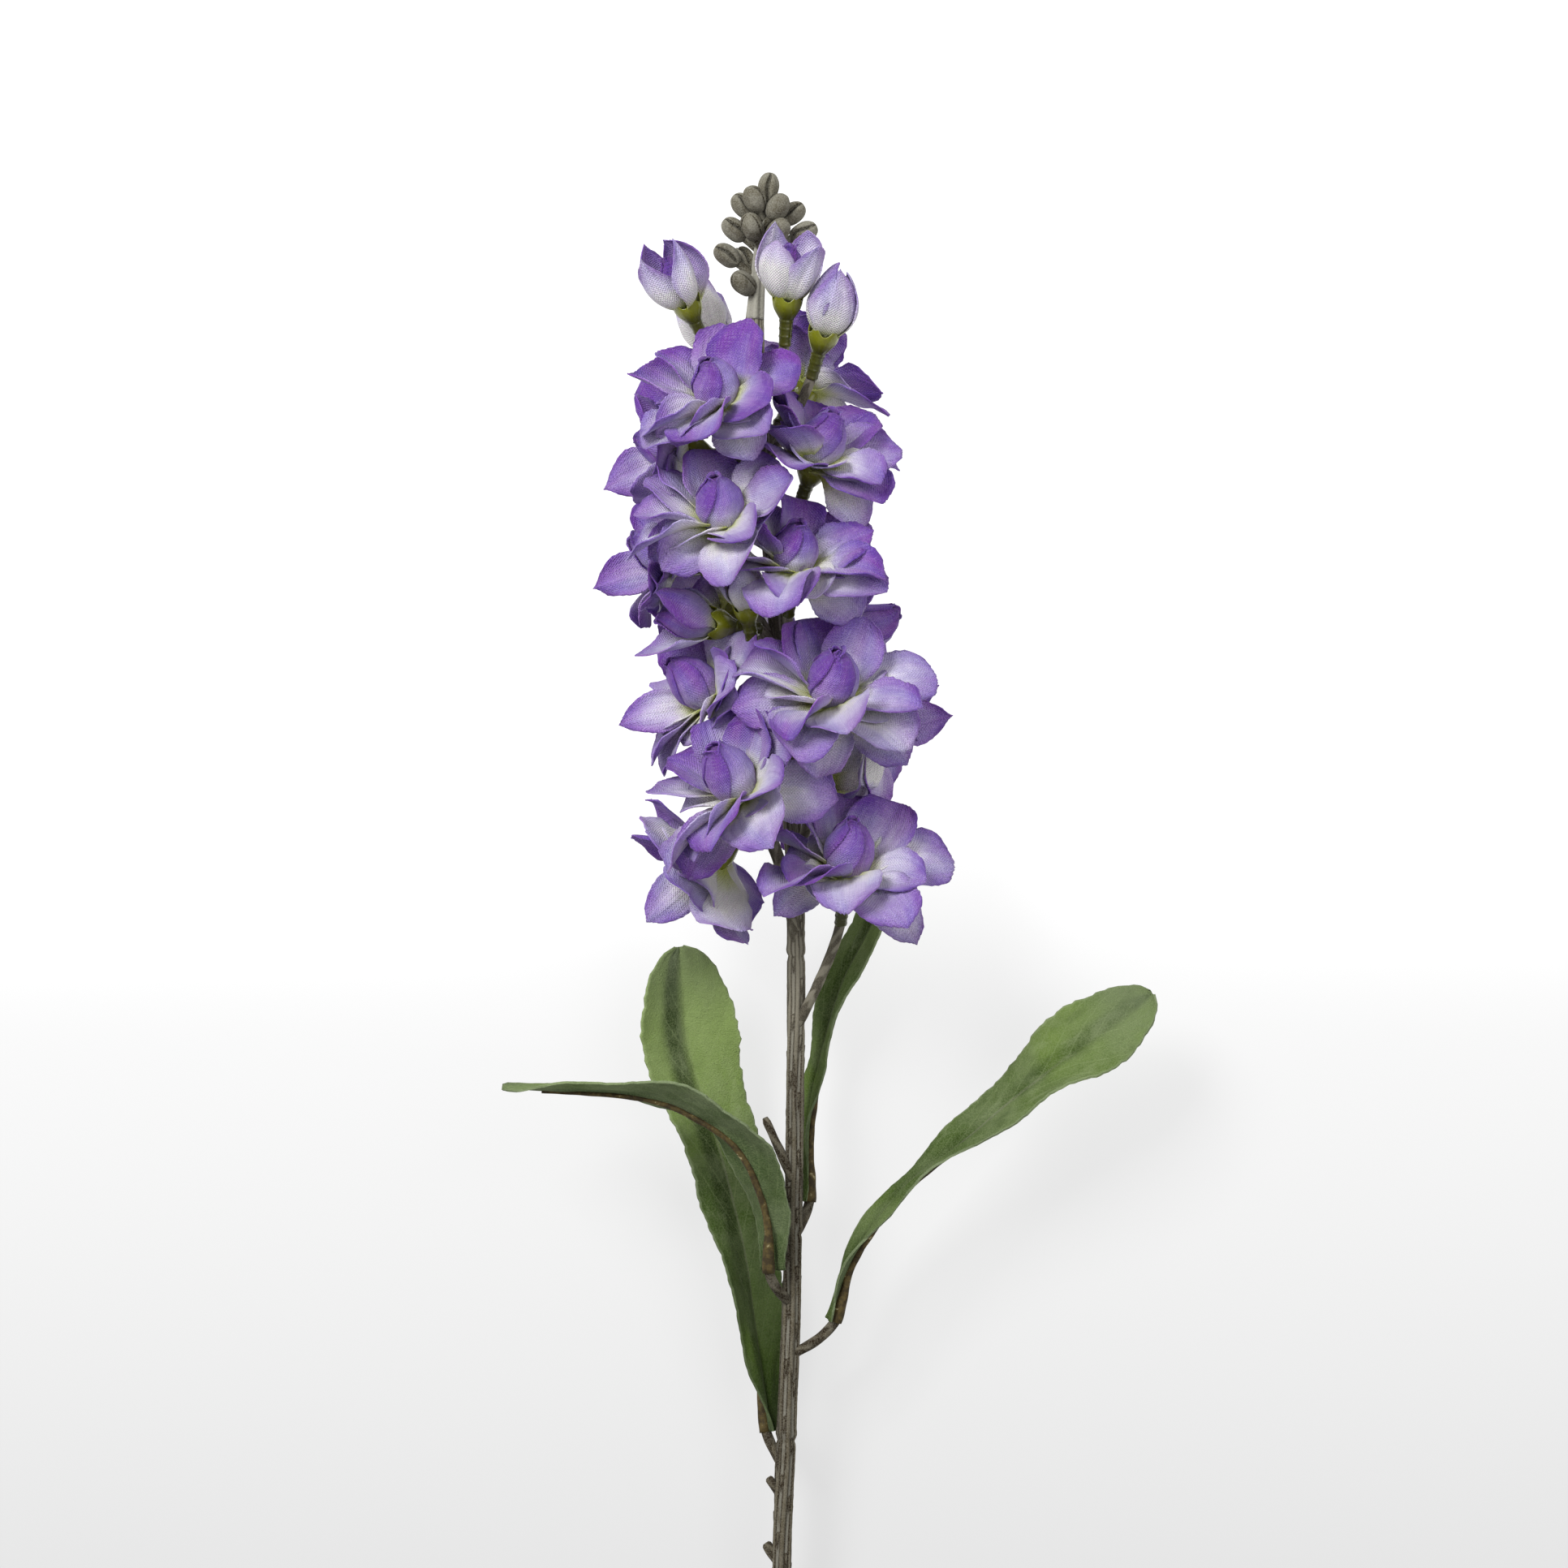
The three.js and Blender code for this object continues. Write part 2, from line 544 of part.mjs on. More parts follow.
// The main stem, with ridges and grooves in turn, and every shoot, leaf foot and peg on it.
function mainStem(grow = 0) {
  const height = (share) => stemCurve.getPointAt(share).y;
  const main = rod(stemCurve, STEM_STEPS, STEM_RIBS * 2, (share, side) => {
    const groove = side % 2 ? STEM_RIB_DEPTH : 0;
    return stemRadius(height(share)) - (grow ? 0 : groove) + grow;
  });
  const shoots = flowers.map((flower) => shootSolid(flower, grow));
  const feet = LEAVES.map((leaf) => leafFoot(leaf, grow));
  const pegs = [STUB, ...THORNS].map((one) => peg(one, grow));
  return joined([main, ...shoots, ...feet, ...pegs]).subtract(underground);
}

// A leaf's midrib curve, with the way its upper face looks taken evenly between the stated directions.
function leafFrame(leaf, s) {
  const curve = leaf.curve;
  const tangent = curve.getTangentAt(s);
  const k = Math.min(leaf.faces.length - 2, Math.floor(s * (leaf.faces.length - 1)));
  const part = s * (leaf.faces.length - 1) - k;
  const up = vector(leaf.faces[k]).lerp(vector(leaf.faces[k + 1]), smooth(part));
  up.addScaledVector(tangent, -up.dot(tangent)).normalize();
  return { at: curve.getPointAt(s), tangent, up, side: tangent.clone().cross(up) };
}

// The half width along a leaf: eased between the stated widths, and round at the tip.
function leafHalf(leaf, s) {
  const along = s * (leaf.half.length - 1);
  const k = Math.min(leaf.half.length - 2, Math.floor(along));
  const wide = THREE.MathUtils.lerp(leaf.half[k], leaf.half[k + 1], smooth(along - k));
  if (s < LEAF_ROUND) return wide;
  const q = (s - LEAF_ROUND) / (1 - LEAF_ROUND);
  return wide * Math.sqrt(1 - 0.9 * q * q);
}

function leafPoint(leaf, u, s) {
  const { at, up, side } = leafFrame(leaf, s);
  const x = u * leafHalf(leaf, s);
  const fold = radians(leaf.fold) * (1 - 0.6 * s);
  const ripple = leaf.wave * u * u * Math.sin(21 * s + (u > 0 ? 1.7 : 0) + leaf.name.length);
  return at.addScaledVector(side, x * Math.cos(fold)).addScaledVector(up, Math.abs(x) * Math.sin(fold) + ripple);
}
LEAVES.forEach((leaf) => {
  leaf.curve = new THREE.CatmullRomCurve3(leaf.line.map(vector), false, 'catmullrom', 0.5);
});

function leafBlade(leaf, grow = 0) {
  const rows = Array.from({ length: LEAF_ROWS + 1 }, (_, j) => j / LEAF_ROWS);
  return blade((u, s) => leafPoint(leaf, u, s), LEAF_COLUMNS, rows, LEAF_THICK + grow);
}

// Where a leaf's sleeve starts: below the blade, on the line of the midrib, close under its lower face.
function sleeveLine(leaf) {
  const { at, tangent, up } = leafFrame(leaf, 0);
  const start = at.clone().addScaledVector(up, -LEAF_THICK / 2 - SEAT_GAP - SLEEVE_RADIUS);
  const foot = start.clone().addScaledVector(tangent, -SEAT_GAP);
  return { start, foot, tangent };
}

// The rib under a leaf: a thick sleeve at the stem that thins to a wire along the midrib.
function leafRib(leaf) {
  const points = [];
  for (let i = 0; i <= 7; i++) {
    const s = (RIB_REACH * i) / 7;
    const { at, up } = leafFrame(leaf, s);
    const radius = ribRadius(leaf, s);
    points.push(at.addScaledVector(up, -LEAF_THICK / 2 - SEAT_GAP - radius));
  }
  const curve = new THREE.CatmullRomCurve3(points, false, 'catmullrom', 0.5);
  return rod(curve, 8, 5, (share) => ribRadius(leaf, share * RIB_REACH));
}

function ribRadius(leaf, s) {
  const along = s * leaf.curve.getLength();
  const share = Math.min(1, along / (SLEEVE_LENGTH * 1.4));
  const wire = THREE.MathUtils.lerp(RIB_RADIUS, RIB_END_RADIUS, s / RIB_REACH);
  return THREE.MathUtils.lerp(SLEEVE_RADIUS, wire, smooth(share));
}

// One closed bud: a round bead with a cleft down the side that looks outward.
function tipBud([x, y, z, looks], index) {
  const ball = new THREE.SphereGeometry(TIP_BUD_RADIUS, TIP_SIDES, TIP_RINGS);
  const at = ball.getAttribute('position');
  const way = radians(looks);
  for (let i = 0; i < at.count; i++) {
    const p = new THREE.Vector3().fromBufferAttribute(at, i);
    const facing = Math.cos(Math.atan2(p.x, p.z) - way) > 0.9 ? 1 : 0;
    const keep = 1 - TIP_CLEFT * facing * Math.sqrt(Math.max(0, 1 - (p.y / TIP_BUD_RADIUS) ** 2));
    at.setXYZ(i, p.x * keep, p.y * TIP_BUD_LONG, p.z * keep);
  }
  const place = new THREE.Vector3(x, y, z);
  const root = tipLineAt(y - 6.5);
  const lean = place.clone().sub(root).normalize();
  const turn = new THREE.Quaternion().setFromUnitVectors(new THREE.Vector3(0, 1, 0), lean);
  ball.applyQuaternion(turn).translate(x, y, z);
  const stalk = rod(new THREE.LineCurve3(root, place), 1, 4, () => 1.1 + 0.1 * scatter(index));
  return solidFrom(ball).add(stalk);
}

const tipCurve = new THREE.CatmullRomCurve3(TIP_LINE.map(vector), false, 'catmullrom', 0.5);

function tipLineAt(y) {
  const [low, high] = [TIP_LINE[0][1], TIP_LINE.at(-1)[1]];
  return tipCurve.getPoint(THREE.MathUtils.clamp((y - low) / (high - low), 0.02, 1));
}

function tipCluster() {
  const line = rod(tipCurve, 4, 7, (share) => 2.3 - 0.9 * share);
  return joined([line, ...TIP_BUDS.map(tipBud)]);
}

const petalFabric = new THREE.MeshStandardMaterial({ color: 0x8f78c4, roughness: 0.85, metalness: 0 });
const greenPlastic = new THREE.MeshStandardMaterial({ color: 0x6d7528, roughness: 0.4, metalness: 0 });
const stemFlock = new THREE.MeshStandardMaterial({ color: 0x7a7064, roughness: 0.95, metalness: 0 });
const budFlock = new THREE.MeshStandardMaterial({ color: 0x77736a, roughness: 0.95, metalness: 0 });
const leafFabric = new THREE.MeshStandardMaterial({ color: 0x5f7d43, roughness: 0.9, metalness: 0 });
const ribPlastic = new THREE.MeshStandardMaterial({ color: 0x6b5a38, roughness: 0.8, metalness: 0 });

// The petals of one flower round its heart, cut clear of the stem, the cups and the leaves.
function flowerHead(flower, obstacles) {
  const [outer, inner] = flower.front ? FRONT_COUNTS : OTHER_COUNTS;
  const rows = flower.front ? LONG_ROWS : SHORT_ROWS;
  const petals = flower.open
    ? [...bladesOf(flower, OUTER, outer, rows, 0), ...bladesOf(flower, INNER, inner, SHORT_ROWS, 100)]
    : bladesOf(flower, OPENING, inner, rows, 300);
  const middle = heart(flower, flower.open ? HEART_OUTLINE : SEED_OUTLINE);
  return largestBody(joined([middle, ...petals]).subtract(obstacles).subtract(underground));
}

const lying = new THREE.Group();
lying.rotation.x = tilt;
lying.position.set(FRAME_SHIFT_X, FRAME_SHIFT_Y, groundDrop);

const stem = mainStem();
const obstacles = joined([
  mainStem(CUT_GAP), ...flowers.map((flower) => cup(flower, CUT_GAP)), ...LEAVES.map((leaf) => leafBlade(leaf, 0.7)),
]);
lying.add(meshOf('main_stem', stem, stemFlock));
lying.add(meshOf('tip_buds', tipCluster(), budFlock));
for (const flower of flowers) {
  lying.add(meshOf(`${flower.name}_petals`, flowerHead(flower, obstacles), petalFabric));
  lying.add(meshOf(`${flower.name}_cup`, cup(flower), greenPlastic));
}
for (const leaf of LEAVES) {
  lying.add(meshOf(leaf.name, leafBlade(leaf), leafFabric));
  lying.add(meshOf(`${leaf.name}_rib`, leafRib(leaf), ribPlastic));
}

const stock = new THREE.Group();
stock.add(lying);
export default stock;
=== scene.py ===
"""A cut stem of artificial stock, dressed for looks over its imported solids.

Every shape is worked out in the stem's own frame, in millimetres: x to the right, y up the stem to the
tip, z to the viewer. placed() then lays it on its back on the floor, in metres, where the solids are.
"""

import math
from types import SimpleNamespace

import bpy
import numpy as np
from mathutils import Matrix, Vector


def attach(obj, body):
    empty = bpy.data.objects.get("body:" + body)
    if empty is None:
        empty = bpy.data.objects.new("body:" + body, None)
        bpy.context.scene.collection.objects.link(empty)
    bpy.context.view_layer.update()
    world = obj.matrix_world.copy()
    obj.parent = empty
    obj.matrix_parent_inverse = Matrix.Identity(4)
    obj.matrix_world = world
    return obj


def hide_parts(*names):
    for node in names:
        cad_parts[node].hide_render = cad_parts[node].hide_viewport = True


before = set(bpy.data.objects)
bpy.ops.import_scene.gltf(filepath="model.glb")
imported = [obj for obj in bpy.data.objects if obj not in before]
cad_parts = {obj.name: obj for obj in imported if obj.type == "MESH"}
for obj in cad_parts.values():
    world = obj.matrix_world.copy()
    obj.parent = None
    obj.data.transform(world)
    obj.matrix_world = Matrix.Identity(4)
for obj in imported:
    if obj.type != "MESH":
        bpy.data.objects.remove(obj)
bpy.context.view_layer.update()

# How the stem lies.
LYING_TILT = math.radians(4.4)
FOOT_Y = -440
FOOT_RADIUS = 3.4
FOOT_FLAT = 0.3
SHIFT_X = -14.5
SHIFT_Y = 129.5
GROUND_DROP = -FOOT_Y * math.sin(LYING_TILT) + (FOOT_RADIUS - FOOT_FLAT) * math.cos(LYING_TILT)
FORWARD = np.array([0.0, 0.0, 1.0])

# The stem and what grows on it.
STEM_LINE = [
    (-1.5, FOOT_Y, 0), (-1.2, -330, 0), (-0.7, -232, 0), (2.2, -152, 0), (3.6, -56, 0),
    (2.2, -8, 0), (-2.6, 54, 0), (-7.6, 112, 0), (-8.4, 142.5, 0),
]
STEM_TOP_RADIUS = 2.6
STEM_RIDGES = 6
RIDGE_HEIGHT = 0.75
DROP_STEP = 17
DROP_SHARE = 0.45
STEM_SEAMS = (-370, -300, -194, -133, -51, 30)
SEAM_DEPTH = 0.45
SHOOT_RADIUS = 1.5
SHOOT_RISE = 1.5
LEAF_FOOT_DROP = 12
SEAT_DEPTH = 2

# A bare stub and two thorns: start, end and radius.
PEGS = [
    ((2.6, -117, 1), (-5.6, -98.5, 3.5), 1.35), ((0.4, -212, 0), (-4.6, -205, 0.5), 1.5),
    ((-0.8, -231, 0), (-5.4, -224.5, 0), 1.7),
]

# The tip: its stalk, and each closed bud's middle and the turn of its cleft.
TIP_LINE = [(-8.2, 143.2, 0), (-7.2, 156, 0), (-5.2, 172, 0)]
TIP_BUDS = [
    (-4.6, 176.4, 0.6, 0), (-12, 171, -1, 25), (-8.8, 172.4, 4, 75), (-1.9, 170.2, 4, 100),
    (2.4, 168.7, -1, -30), (-14.6, 163.9, 0, 34), (-9.4, 164.4, 4.6, -70), (-1.9, 163, 4.6, 120),
    (5.8, 163, 0, -36), (-16.8, 156.2, 1, 12), (-11.8, 155.5, -4.4, 20), (-12, 147.8, 3.4, -64),
]
TIP_BUD_RADIUS = 3.15
TIP_BUD_HALF_LENGTH = 4.3815
TIP_STALK_RADIUS = 2.75
TIP_STALK_TAPER = 1.2
TIP_RIDGE_HEIGHT = 0.6
TIP_SHOOT_DROP = 6.5
TIP_SHOOT_RADIUS = 1.25
DUSTY_TONE = 1.5

# Cups and rings of petals. A petal's start and end are its angles from the bloom's axis in degrees, at
# its root and its tip.
CUP_RADIUS = 4.9
CUP_DEPTH = 5
CUP_RING_STEP = 2.3
STALK_RADIUS = 2.1
STALK_LENGTH = 11
OUTER = SimpleNamespace(
    length=28.5, half=10.2, start=66, end=94, wrap=30, curl=2.4, twist=15, ruffle=1.5, phase=0,
    root=1.1, middle=1.1, claw=0.26, widest=0.56, point=0, droop=26, seed=0, tone=0.32,
)
BETWEEN = SimpleNamespace(
    length=27, half=9.6, start=58, end=72, wrap=22, curl=2.2, twist=12, ruffle=1.3, phase=0.5,
    root=1.4, middle=1.1, claw=0.26, widest=0.56, point=0.1, droop=30, seed=200, tone=0.36,
)
INNER = SimpleNamespace(
    length=24.5, half=9.2, start=64, end=58, wrap=15, curl=2, twist=18, ruffle=0.9, phase=0.5,
    root=1.9, middle=1.1, claw=0.28, widest=0.56, point=0, droop=44, seed=100, tone=0.4,
)
OPENING = SimpleNamespace(
    length=24.5, half=8.8, start=60, end=-40, wrap=8, curl=2.2, twist=9, ruffle=0.4, phase=0,
    root=0.5, middle=2.2, claw=0.4, widest=0.44, point=0.85, droop=26, seed=300, tone=0.06,
)
THROAT = SimpleNamespace(
    length=18, half=9, start=68, end=84, wrap=14, curl=0.5, twist=8, ruffle=0.3, phase=0.25,
    root=0.9, middle=0.8, claw=0.6, widest=0.5, point=0, droop=20, seed=400, tone=0,
)
FRONT_COUNTS = (5, 4)
FRONT_GRID = dict(rows=25, cols=21)
OTHER_COUNTS = (4, 3)
OTHER_GRID = dict(rows=21, cols=17)
THROAT_GRID = dict(rows=11, cols=11)
WIDE_SPREAD = 30
WIDE_TONE = 0.25
PETAL_ARCH = 0.12
PETAL_THICK = 0.34
PETAL_FOLDS = 0.55
PETAL_CRUMPLE = 0.22
TONE_UPWARD = 0.22
TONE_SCATTER = 0.55
TONE_MIDDLE = 45
TONE_RISE = 0.001
HEART_FOOT = 0.3
HEART_CORE = 0.82
HEART_HEIGHTS = (0.3, 4, 8.5, 13, 17.2, 20)
HEART_RADII = (3.6, 5.7, 6.7, 6.1, 3.9, 0.7)

# The cell between its neighbours that each flower keeps to, and how a petal closes to fit it.
CELL_REACH = 24
BUD_REACH = 12
CELL_CENTRE = 8
CELL_MARGIN = -3.5
CELL_SOFTNESS = 5
CELL_RANGE = 14
CLOSE_STEP = 8
CLOSE_STEPS = 4
CLOSE_ENOUGH = 4
CLOSE_AT_ROOT = 0.35
GROUND_SOFTNESS = 0.8

# Flowers from number 1 on: the cup's rim, turn about the stem, rise to the tip, roll, size, seen from the
# front, and how far below its end the shoot leaves the stem where that is not worked out. A bud has its
# spread last, which opens it further.
BLOOMS = [
    ((-17.5, 109, 22), -28, 54, 20, 1.05, True, None),
    ((8.5, 92.5, 16), 44, 62, 60, 1.02, True, None),
    ((-27, 98.5, 1), -84, 12, 10, 1, False, None),
    ((-17.5, 74, 26), -16, 56, 75, 1.06, True, 14),
    ((2.5, 61, 25), 10, 58, 40, 1.02, True, None),
    ((-29, 65.5, 6), -78, 22, 50, 0.98, False, None),
    ((13.5, 22.5, 29), 8, 54, 15, 1.12, True, None),
    ((18, 41, -3), 80, 34, 30, 1, False, None),
    ((23, 16, 3), 78, -6, 0, 0.98, False, None),
    ((-19.5, 24, 6), -62, 36, 65, 1.04, False, None),
    ((-11, -4.5, 26), -44, 46, 35, 1.1, True, None),
    ((-19, -20, 8), -112, -28, 25, 1.04, False, 34),
    ((18, -28, 21), 12, 62, 5, 1.12, True, 33),
    ((10, -2, -15.8), 140, 24, 45, 1, False, None),
    ((5, 116, -9), 132, 46, 30, 0.94, False, None),
    ((-15, 50, -17.5), -140, 24, 17, 0.98, False, None),
]
BUDS = [
    ((-28.2, 140.5, 7), -55, 60, 10, 0.9, True, None, 0),
    ((-20, 131, -10), -140, 58, 50, 0.86, False, None, 0),
    ((1, 141.5, 12), 12, 74, 35, 0.93, True, None, 14),
    ((11.5, 131.5, 12), 40, 66, 70, 0.96, True, None, -16),
    ((-20, 47, 12), -76, 6, 20, 1, False, None, 52),
    ((-11, 51, 19), -25, 66, 60, 0.8, False, None, 0),
]

# Single petals that spread or hang past their ring: the bloom's number, the way they point seen from the
# front in degrees from the right, how far they come forward, length, half width, point and tone.
LOOSE_PETALS = [
    (1, -62, 0.6, 22, 8.5, 0.1, 0), (1, 205, 0.7, 23, 8.5, 0.2, 0.2),
    (2, -72, 0, 25, 7, 0.8, 0), (3, 198, 0, 27, 7.5, 0.8, 0.3),
    (4, 218, 0.6, 23, 9, 0.1, 0.15), (7, -100, 0.4, 25, 9, 0, 0.05),
    (4, 204, 0.2, 23, 7.5, 0.3, 0.35), (5, -48, -0.1, 24, 8.5, 0.2, 0.15),
    (6, 190, 0, 27, 7, 0.9, 0.45), (7, 184, 0.1, 28, 8.5, 0, 0.3),
    (7, -48, -0.1, 28, 8, 0.1, 0.1), (9, 4, 0, 26, 7, 1, 0.3),
    (10, 190, 0, 29, 6.5, 0.8, 0.3), (11, -10, 0.1, 27, 9.5, 0, 0.18),
    (11, -122, 0.2, 29, 8.5, 0, 0.3), (12, 222, 0.2, 30, 7, 0.8, 0.1),
    (13, -54, 0, 29, 7.5, 0.6, -0.05), (13, -142, 0, 24, 6, 0.5, 0.1),
]
LOOSE_OVERSHOOT = math.radians(8)
LOOSE_START_LIMIT = math.radians(96)

# Leaves: how strong the painted shade of the fold and the foot and the painted light near the tip are
# (shade), the fold's angle in degrees, the height of the waves at the edge, the midrib, the way the upper
# face looks along it, and half widths.
LEAVES = [
    SimpleNamespace(
        name="leaf_back_left", shade=1, fold=24, wave=1.7,
        line=[(-3.6, -192, -4.5), (-8.5, -161, -8), (-13, -133, -11), (-21, -103, -12), (-28.5, -78, -12),
                 (-31, -48.5, -9)],
        faces=[(0.75, 0.2, 0.65), (0.35, 0.05, 0.9), (0.3, 0, 0.95)],
        half=(3.5, 8, 10, 11.5, 13, 15.5, 15.5),
    ),
    SimpleNamespace(
        name="leaf_left", shade=0.35, fold=16, wave=1.1,
        line=[(-3.4, -143, 8), (-4.6, -126, 11), (-12, -107.5, 15), (-25, -97, 18), (-43, -90.5, 20),
                 (-82, -88, 20)],
        faces=[(0.45, 0.1, -0.9), (0.3, 0.85, -0.4), (0.1, 0.98, 0.12)],
        half=(4, 6.5, 9, 10.5, 10.5, 9, 7),
    ),
    SimpleNamespace(
        name="leaf_right", shade=0.35, fold=14, wave=1.6,
        line=[(13, -158, 3), (20, -139, 5), (34.5, -119.5, 6), (55, -103, 6), (79, -84, 4), (109, -62, 0)],
        faces=[(-0.85, 0.35, 0.3), (-0.6, 0.65, 0.5), (-0.25, 0.45, 0.85)],
        half=(2.6, 3.2, 5, 7.5, 12, 13.5, 13),
    ),
    SimpleNamespace(
        name="leaf_back_right", shade=0.6, fold=20, wave=1,
        line=[(5.6, -124, -8), (7.5, -98, -12), (12, -76, -15), (19, -56, -18), (30, -36, -22),
                 (43.5, -17, -24)],
        faces=[(-0.8, -0.1, 0.55), (-0.75, 0.25, 0.6), (-0.65, 0.3, 0.7)],
        half=(1.6, 2.2, 4, 6.5, 7.5, 7.5, 7),
    ),
]
LEAF_THICK = 0.7
LEAF_ROUND = 0.8
LEAF_GAP = 0.2
VEIN_COUNT = 13
VEIN_SLANT = 2.6
RIB_RADIUS = 1.1
RIB_END_RADIUS = 0.55
RIB_REACH = 0.9
SLEEVE_RADIUS = 1.9
SLEEVE_LENGTH = 13

# The floor, the light and the camera. The floor glows, painted light that washes out the shadows on it: a
# glow has the two places along it between which it rises, and its strength at both. A light has its name,
# place, size and watts. These are in metres, and the camera's reach and the width of the view at the stem
# in millimetres.
FLOOR_HALF = 8
FLOOR_DROP = 0.0004
FLOOR_GREY = (0.15, 0.15, 0.15, 1)
FLOOR_GLOWS = [(-0.3, 0.2, 0.485, 0.8), (0.05, 0.15, 0.0, 0.22)]
WORLD_STRENGTH = 0.36
LIGHTS = [("left_softbox", (-1.0, 1.1, 1.7), 0.9, 46), ("right_softbox", (1.1, 0.3, 2.1), 1.5, 20)]
LIGHT_AIM = (0, 0.1, 0)
CAMERA_REACH = 1500
VIEW_WIDTH = 463.68
SENSOR_WIDTH = 36
WHITE = (1, 1, 1, 1)


# Small helpers.
def scatter(n):
    """A number from 0 to 1 that is always the same for the same n."""
    far = math.sin(n * 12.9898 + 4.1414) * 43758.5453
    return far - math.floor(far)


def changed(thing, **values):
    """A copy of a thing with some of its values new."""
    return SimpleNamespace(**{**vars(thing), **values})


def smooth(t):
    """A share from 0 to 1, eased at both ends."""
    return t * t * (3 - 2 * t)


def within(value, low, high):
    """How far a value is from low to high, as a share kept between 0 and 1."""
    return np.clip((value - low) / (high - low), 0, 1)


def hump(value, width):
    """A bell: 1 at zero, and falling away at about the width on both sides."""
    return np.exp(-((value / width) ** 2))


def unit(v):
    """A vector, or each of many, made 1 long."""
    return v / np.maximum(np.linalg.norm(v, axis=-1, keepdims=True), 1e-9)


def ripple(a, b, seed):
    """Smooth noise on two coordinates: three sines in different directions, each with its own phase."""
    one = np.sin(1.7 * a + 2.9 * b + 6.3 * scatter(seed))
    two = np.sin(-2.3 * a + 1.3 * b + 6.3 * scatter(seed + 1))
    three = np.sin(3.1 * a - 2.1 * b + 6.3 * scatter(seed + 2))
    return (one + two + three) / 3


def once_round(count, start=0.0):
    """Angles at even steps once round, as a row."""
    return np.linspace(start, start + 2 * np.pi, count, endpoint=False)[None, :]


def sheet_grid(rows, cols):
    """Shares along a sheet from 0 to 1 as a column, and across it from -1 to 1 as a row."""
    return np.linspace(0, 1, rows)[:, None], np.linspace(-1, 1, cols)[None, :]


def lengths_along(points):
    """How far along the straight lines through a row of points each one is."""
    return np.concatenate([[0], np.cumsum(np.linalg.norm(np.diff(points, axis=0), axis=1))])


def between(want, known, points):
    """Points at wanted numbers, on straight lines between points at known numbers."""
    return np.stack([np.interp(want, known, points[:, i]) for i in range(3)], -1)


def placed(points):
    """The stem's own millimetres tipped back by the lying tilt, set over the frame's origin, in metres."""
    x, y, z = points[..., 0], points[..., 1], points[..., 2]
    cos, sin = math.cos(LYING_TILT), math.sin(LYING_TILT)
    high = np.maximum(y * sin + z * cos + GROUND_DROP, 0.0)
    return np.stack([x + SHIFT_X, y * cos - z * sin + SHIFT_Y, high], -1) * 0.001


class Line:
    """A curve through points: a cubic between each two, whose slope at a point is half the step between
    its neighbours. It is kept as 601 samples with their lengths."""

    def __init__(self, points):
        p = np.array(points, float)
        p = np.vstack([2 * p[0] - p[1], p, 2 * p[-1] - p[-2]])
        t = np.linspace(0, len(p) - 3, 601)
        k = np.minimum(t.astype(int), len(p) - 4)
        w = (t - k)[:, None]
        a, b, c, d = p[k], p[k + 1], p[k + 2], p[k + 3]
        m, n = (c - a) / 2, (d - b) / 2
        self.samples = (2 * b - 2 * c + m + n) * w**3 + (-3 * b + 3 * c - 2 * m - n) * w**2 + m * w + b
        self.lengths = lengths_along(self.samples)
        self.length = self.lengths[-1]

    def at(self, share):
        """The points at shares of the length."""
        return between(np.asarray(share) * self.length, self.lengths, self.samples)

    def tangent(self, share):
        """The directions at shares of the length: from a point just before each to one just after."""
        share = np.asarray(share, float)
        return unit(self.at(np.minimum(share + 0.004, 1)) - self.at(np.maximum(share - 0.004, 0)))


# Meshes. Each shape is a part: a dict of corners, faces and what the materials read from it. "read" holds
# three numbers a corner. On petals and leaves these are the way across from -1 to 1, the way along and a
# tone, which on a leaf says how strong the painted shade along its fold and at its foot and the painted
# light towards its tip are. On the rest they are the groove's depth, or on a cup how near the lip is, the
# way along and a tone, which above 1 means dusty. "cloth" holds millimetres across and along, and 1 on a
# sheet's back.
def grid_quads(rows, cols, wrap=False):
    """Quads of a grid of corners; wrap joins its last column to its first."""
    r = np.arange(rows - 1)[:, None]
    c = np.arange(cols if wrap else cols - 1)[None, :]
    n = (c + 1) % cols
    return np.stack([r * cols + c, r * cols + n, (r + 1) * cols + n, (r + 1) * cols + c], -1).reshape(-1, 4)


def spread_out(values, shape):
    """Each of some numbers or arrays spread over a grid's corners: a row of them for each corner."""
    return np.stack([np.broadcast_to(value, shape) for value in values], -1).reshape(-1, len(values))


def sheet(surface, thick, across, along, tone, cloth):
    """A closed sheet: a grid surface moved half the thickness out along its normals and half in, and
    joined round its border by a flat rim."""
    rows, cols = shape = surface.shape[:2]
    out = unit(np.cross(np.gradient(surface, axis=1), np.gradient(surface, axis=0))) * thick / 2
    count = rows * cols
    front = grid_quads(rows, cols)
    border = np.concatenate([
        np.arange(cols), np.arange(1, rows) * cols + cols - 1,
        (rows - 1) * cols + np.arange(cols - 2, -1, -1), np.arange(rows - 2, 0, -1) * cols,
    ])
    after = np.roll(border, -1)
    rim = np.stack([border, border + count, after + count, after], -1)
    return {
        "points": np.concatenate([(surface + out).reshape(-1, 3), (surface - out).reshape(-1, 3)]),
        "quads": np.concatenate([front, front[:, ::-1] + count, rim]),
        "tris": np.zeros((0, 3), int),
        "flat": len(rim),
        "read": np.tile(spread_out((across, along, tone), shape), (2, 1)),
        "cloth": np.concatenate([spread_out((*cloth, back), shape) for back in (0.0, 1.0)]),
    }


